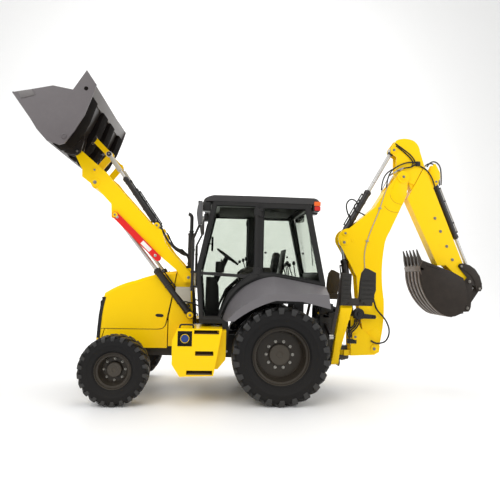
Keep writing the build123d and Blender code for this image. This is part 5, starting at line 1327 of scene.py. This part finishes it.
hoses("dipper_cylinder_hoses", "boom", [
    [(1.372, -0.06, 2.475), (1.357, -0.052, 2.56), (1.33, -0.05, 2.64), (1.275, -0.05, 2.76),
     (1.262, -0.05, 2.88), (1.333, -0.05, 2.96), (1.42, -0.048, 2.93), (1.47, -0.04, 2.84), (1.49, -0.02, 2.775)],
    [(1.575, -0.02, 2.915), (1.45, -0.04, 2.905), (1.385, -0.05, 2.85), (1.41, -0.05, 2.76), (1.5, -0.06, 2.74),
     (1.56, -0.07, 2.7)],
], 0.0115, far_body="dipper_cylinder_barrel")

# Backhoe cylinders: welded black barrels with turned caps and side pipes, chromed rods and forged black rod
# eyes. Each is pinned at its barrel's foot and at its rod's eye.
finish_nodes(barrel_black, "boom_cylinder_barrel", "dipper_cylinder_barrel", "bucket_cylinder_barrel")
finish_nodes(chrome, "boom_cylinder_rod", "dipper_cylinder_rod", "bucket_cylinder_rod")
for name, start, end, radius, rod, eye_half, neck, tube, side_of, pipe_finish in (
    ("boom_cylinder", (1.4, 0, 0.83), (1.222, 0, 2.27),
     0.056, 0.032, 0.06, 0.085, 1.18, (-1, 0, -0.1), hose_rubber),
    ("dipper_cylinder", (1.24, 0, 2.41), (2.004, 0, 3.744),
     0.05, 0.03, 0.056, 0.085, 0.78, (-0.86, 0, 0.5), hose_rubber),
    ("bucket_cylinder", (2.698, 0, 3.27), (3.377, 0, 1.601),
     0.042, 0.026, 0.036, 0.075, 0.95, (0.93, 0, 0.37), pipe_grey),
):
    run = dress_cylinder(name, f"{name}_barrel", barrel_black, start, end, neck, tube, radius, rod, side_of,
                         (0.3, 0.72))
    hoses(f"{name}_pipe", f"{name}_barrel", [run], 0.01, pipe_finish)
    bm = bmesh.new()
    length = (Vector(end) - Vector(start)).length
    oriented(bm, ((-0.075, rod + 0.001), (-0.072, rod + 0.012), (-0.04, rod + 0.014), (-0.036, rod + 0.01),
                  (-0.02, rod + 0.006)), start, end, length)
    for side in (-1, 1):
        add_turned(bm, ((-0.01, rod + 0.021), (-0.002, rod + 0.021), (0.0005, rod + 0.018),
                        (0.0005, rod - 0.002), (-0.01, rod - 0.002)), (end[0], side * eye_half, end[2]), "Y", 32,
                   side)
    put(bm, f"{name}_rod_eye", f"{name}_rod", barrel_black)

# Bucket linkage: two curved guide links outside and one straight link inside, flame-cut from thick plate
# and painted brown-black. They swing on greased steel pins.
linkage_brown = finish_of("linkage_brown", (0.02, 0.0145, 0.0105), (0.07, 0.052, 0.04), 0.42, wear=0.4, dust=0.0,
                          patch=8.0, specular=0.25)
finish_nodes(linkage_brown, "bucket_guide_links", "bucket_link")
pin_ends("guide_link_pins", "bucket_guide_links", ((3.377, 1.601, 0.1255, 0.03),), linkage_brown, 0.6)
bm = bmesh.new()
for side in (-1, 1):
    outline = ((3.04, 1.955), (3.06, 1.985), (3.111, 1.99), (3.22, 1.965), (3.31, 1.905), (3.385, 1.8),
               (3.42, 1.68), (3.425, 1.6), (3.4, 1.558), (3.35, 1.56), (3.325, 1.6), (3.305, 1.7), (3.25, 1.79),
               (3.17, 1.862), (3.073, 1.902))
    add_plate(bm, outline, side * 0.1155, side * 0.1255, 0.003)
put(bm, "guide_link_plates", "bucket_guide_links", linkage_brown)

# Digging bucket: a shell rolled from one plate between curved side plates, in worn brown-black. Cast teeth
# are welded to the lip, side cutters guard its corners and two ears carry the pins.
dig_brown = finish_of("dig_bucket_paint", (0.0175, 0.0118, 0.0082), (0.05, 0.037, 0.028), 0.42, wear=0.4,
                      dust=0.0, patch=7.0, specular=0.25)
rib_brown = finish_of("dig_bucket_worn_rib", (0.11, 0.082, 0.063), (0.05, 0.037, 0.028), 0.4, wear=0.6, dust=0.0,
                      patch=9.0)
tooth_steel = finish_of("tooth_steel", (0.03, 0.023, 0.019), (0.12, 0.1, 0.085), 0.38, wear=0.7, dust=0.0,
                        patch=12.0, metallic=0.4)


def arc_points(ends, steps=8):
    """Points along the circle through three places, without the last one."""
    (ax, ay), (bx, by), (cx, cy) = ends
    d = 2 * (ax * (by - cy) + bx * (cy - ay) + cx * (ay - by))
    ux = ((ax * ax + ay * ay) * (by - cy) + (bx * bx + by * by) * (cy - ay) + (cx * cx + cy * cy) * (ay - by)) / d
    uy = ((ax * ax + ay * ay) * (cx - bx) + (bx * bx + by * by) * (ax - cx) + (cx * cx + cy * cy) * (bx - ax)) / d
    radius = math.hypot(ax - ux, ay - uy)
    turn = [math.atan2(y - uy, x - ux) for x, y in ends]
    for i in (1, 2):
        while turn[i] - turn[i - 1] > math.pi:
            turn[i] -= 2 * math.pi
        while turn[i] - turn[i - 1] < -math.pi:
            turn[i] += 2 * math.pi
    return [(ux + radius * math.cos(turn[0] + (turn[2] - turn[0]) * k / steps),
             uy + radius * math.sin(turn[0] + (turn[2] - turn[0]) * k / steps))
            for k in range(steps)]


dig_back = (
    [(2.35, 1.9)] + arc_points(((2.35, 1.9), (2.463, 1.446), (2.696, 1.209)), 14)[1:]
    + arc_points(((2.696, 1.209), (2.795, 1.175), (2.9, 1.175)), 6) + [(2.9, 1.175)]
    + arc_points(((3.02, 1.23), (3.094, 1.44), (3.08, 1.6)), 10) + [(3.08, 1.6)]
)
dig_half = 0.3


def inset_line(line, depth):
    """The line moved sideways by a depth, to the left of its direction."""
    moved = []
    for i, (x, z) in enumerate(line):
        ahead_point = line[min(i + 1, len(line) - 1)]
        behind = line[max(i - 1, 0)]
        run_x, run_z = ahead_point[0] - behind[0], ahead_point[1] - behind[1]
        size = math.hypot(run_x, run_z)
        moved.append((x - run_z / size * depth, z + run_x / size * depth))
    return moved


bm = bmesh.new()
add_plate(bm, dig_back + inset_line(dig_back, 0.016)[::-1], -dig_half + 0.004, dig_half - 0.004)
for side in (-1, 1):
    face = [(2.395, 2.01), (2.852, 1.851), (3.03, 1.76), (3.08, 1.6)] + dig_back[-2:0:-1] + [(2.35, 1.9)]
    add_plate(bm, face, side * (dig_half - 0.016), side * dig_half, 0.003)
    cutter = [(2.395, 2.01), (2.64, 1.925), (2.66, 1.88), (2.45, 1.94), (2.405, 1.89), (2.345, 1.915)]
    add_plate(bm, cutter, side * (dig_half - 0.001), side * (dig_half + 0.01), 0.003)
    ear = [(3.06, 1.6), (3.14, 1.74), (3.165, 1.76), (3.19, 1.766), (3.222, 1.762), (3.245, 1.75),
           (3.259, 1.728), (3.262, 1.7), (3.23, 1.32), (3.215, 1.27), (3.19, 1.24), (3.1, 1.235), (3.012, 1.222),
           (3.07, 1.3)]
    add_plate(bm, ear, side * 0.126, side * 0.148, 0.004)
    add_plate(bm, [(2.905, 1.172), (3.02, 1.224), (3.1, 1.228), (3.1, 1.212), (3.02, 1.2), (2.91, 1.158)],
              side * 0.11, side * 0.164, 0.002)
    for x, z, radius, inner_half, pin_radius in (
        (3.202, 1.708, 0.034, 0.0925, 0.021), (3.168, 1.298, 0.04, 0.072, 0.026),
    ):
        add_turned(bm, ((-0.02, radius + 0.01), (0.006, radius + 0.01), (0.008, radius + 0.006),
                        (0.008, radius - 0.008), (-0.02, radius - 0.008)), (x, side * 0.148, z), "Y", 30, side)
        add_turned(bm, ((inner_half, pin_radius), (0.15, pin_radius)), (x, 0, z), "Y", 24, side)
lip = [(2.395, 2.01), (2.35, 1.9), (2.338, 1.905), (2.384, 2.019)]
add_plate(bm, lip, -dig_half + 0.002, dig_half - 0.002, 0.003)
dig_piece = put(bm, "dig_bucket_shell", "dig_bucket", dig_brown)
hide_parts("dig_bucket")
bm = bmesh.new()
rib_outer = inset_line(dig_back, -0.01)
for y, half in ((-0.255, 0.026), (-0.135, 0.034), (0.0, 0.034), (0.135, 0.034), (0.255, 0.026)):
    add_plate(bm, rib_outer[1:-12] + dig_back[1:-12][::-1], y - half, y + half, 0.002)
add_plate(bm, [(2.398, 2.012), (2.348, 1.896), (2.372, 1.8), (2.362, 1.797), (2.334, 1.9), (2.384, 2.02)],
          -dig_half - 0.002, dig_half + 0.002, 0.003)
put(bm, "dig_bucket_ribs", "dig_bucket", rib_brown)
pin_ends("dig_bucket_pins", "dig_bucket", ((3.202, 1.708, 0.154, 0.024), (3.168, 1.298, 0.154, 0.024)), steel, 0.6)
bm = bmesh.new()
tooth_along = Vector((-0.056, 0, 0.206)).normalized()
for y in (-0.27, -0.135, 0.0, 0.135, 0.27):
    base = Vector((2.37, y, 1.938))
    thick = Vector((-tooth_along.z, 0, tooth_along.x))
    stations = ((-0.075, 0.03, 0.026), (0.03, 0.03, 0.033), (0.085, 0.027, 0.028), (0.17, 0.021, 0.014),
                (0.252, 0.014, 0.005))
    rows = []
    for run, half_y, half_t in stations:
        middle = base + tooth_along * run
        rows.append([bm.verts.new(middle + Vector((0, sy * half_y, 0)) + thick * st * half_t)
                     for sy, st in ((-1, -1), (1, -1), (1, 1), (-1, 1))])
    add_bars(bm, rows)
bmesh.ops.recalc_face_normals(bm, faces=bm.faces)
bmesh.ops.bevel(bm, geom=bm.edges[:], offset=0.003, segments=2, affect="EDGES", clamp_overlap=True)
put(bm, "dig_teeth", "dig_bucket", tooth_steel)

# Stabilizers: a welded yellow box leg on each side, folded up, with a street pad of dark ribbed rubber on
# a steel plate at its foot. A short black cylinder pushes each leg down.
pad_dark = finish_of("pad_rubber", (0.013, 0.0122, 0.0112), (0.035, 0.032, 0.029), 0.6, wear=0.5, dust=0.1,
                     dust_height=2.0, grain=300.0)
pad_plate = finish_of("pad_plate_brown", (0.022, 0.0165, 0.013), (0.06, 0.046, 0.037), 0.5, wear=0.5, dust=0.0,
                      patch=9.0)
finish_nodes(barrel_black, "left_stabilizer_barrel", "right_stabilizer_barrel")
finish_nodes(chrome, "left_stabilizer_rod", "right_stabilizer_rod")
pad_faces = (
    # the outlines of the pad's two halves in X and Z, as seen from the side
    ((0.966, 1.79), (1.104, 1.784), (1.096, 1.56), (1.05, 1.372), (0.944, 1.345), (0.955, 1.56)),
    ((1.289, 1.862), (1.33, 1.855), (1.44, 1.8), (1.44, 1.56), (1.402, 1.45), (1.376, 1.352),
     (1.3, 1.352), (1.196, 1.449), (1.213, 1.677), (1.238, 1.8)),
)
pad_rib_levels = (1.415, 1.475, 1.535, 1.595, 1.655, 1.715)
for side, hand in ((-1, "left"), (1, "right")):
    body = f"{hand}_stabilizer"
    bm = bmesh.new()
    outline = [(side * 0.375, 0.5), (side * 0.4, 0.47), (side * 0.43, 0.46), (side * 0.465, 0.475),
               (side * 0.49, 0.51), (side * 0.935, 1.31), (side * 0.905, 1.35), (side * 0.85, 1.37)]
    add_prism(bm, [(0.962, y, z) for y, z in outline], [(1.058, y, z) for y, z in outline], 0.005)
    wide = [(side * 0.56, 0.64), (side * 0.6, 0.7), (side * 0.935, 1.31), (side * 0.905, 1.35),
            (side * 0.85, 1.37), (side * 0.54, 0.83)]
    add_prism(bm, [(1.05, y, z) for y, z in wide],
              [(1.05 + 0.085 * max(0.0, (z - 0.64) / 0.73), y, z) for y, z in wide])
    for x, end in ((0.962, -1), (1.058, 1)):
        add_turned(bm, ((0, 0.062), (0.004, 0.062), (0.006, 0.058), (0.006, 0.0)), (x, side * 0.43, 0.52), "X",
                   30, end)
    leg = put(bm, f"{hand}_stabilizer_leg", body, yellow_paint)
    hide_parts(body)
    bm = bmesh.new()
    add_turned(bm, ((0, 0.034), (0.01, 0.034), (0.012, 0.03), (0.012, 0.0)), (0.962, side * 0.62, 0.88),
               "X", 26, -1)
    add_block(bm, (0.985, side * 0.912, 1.346), (1.4, side * 0.966, 1.446), 0.01)
    add_block(bm, (1.055, side * 0.966, 1.366), (1.205, side * 0.99, 1.45), 0.006)
    for outline in pad_faces:
        add_plate(bm, outline, side * 0.962, side * 0.984, 0.004)
    put(bm, f"{hand}_pad_plates", body, pad_plate)
    # A dark brown strip runs along the front edge of each leg.
    bm = bmesh.new()
    strip = [(0.985, 1.8), (0.96, 1.8), (0.905, 1.36), (0.842, 1.05), (0.83, 0.955), (0.868, 0.955),
             (0.905, 1.12), (0.95, 1.345)]
    add_plate(bm, strip, side * 0.93, side * 0.952, 0.004)
    dark = bmesh.new()
    for outline in pad_faces:
        middle_x = sum(x for x, z in outline) / len(outline)
        middle_z = sum(z for x, z in outline) / len(outline)
        shrunk = [(middle_x + (x - middle_x) * 0.94, middle_z + (z - middle_z) * 0.965) for x, z in outline]
        add_plate(dark, shrunk, side * 0.983, side * 1.003, 0.006)
        left, right = min(x for x, z in outline) + 0.03, max(x for x, z in outline) - 0.03
        for level in pad_rib_levels:
            add_block(dark, (left, side * 1.001, level - 0.017), (right, side * 1.0135, level + 0.017), 0.005)
    put(bm, f"{hand}_leg_front_strip", body, pad_plate)
    put(dark, f"{hand}_pad_rubber", body, pad_dark)
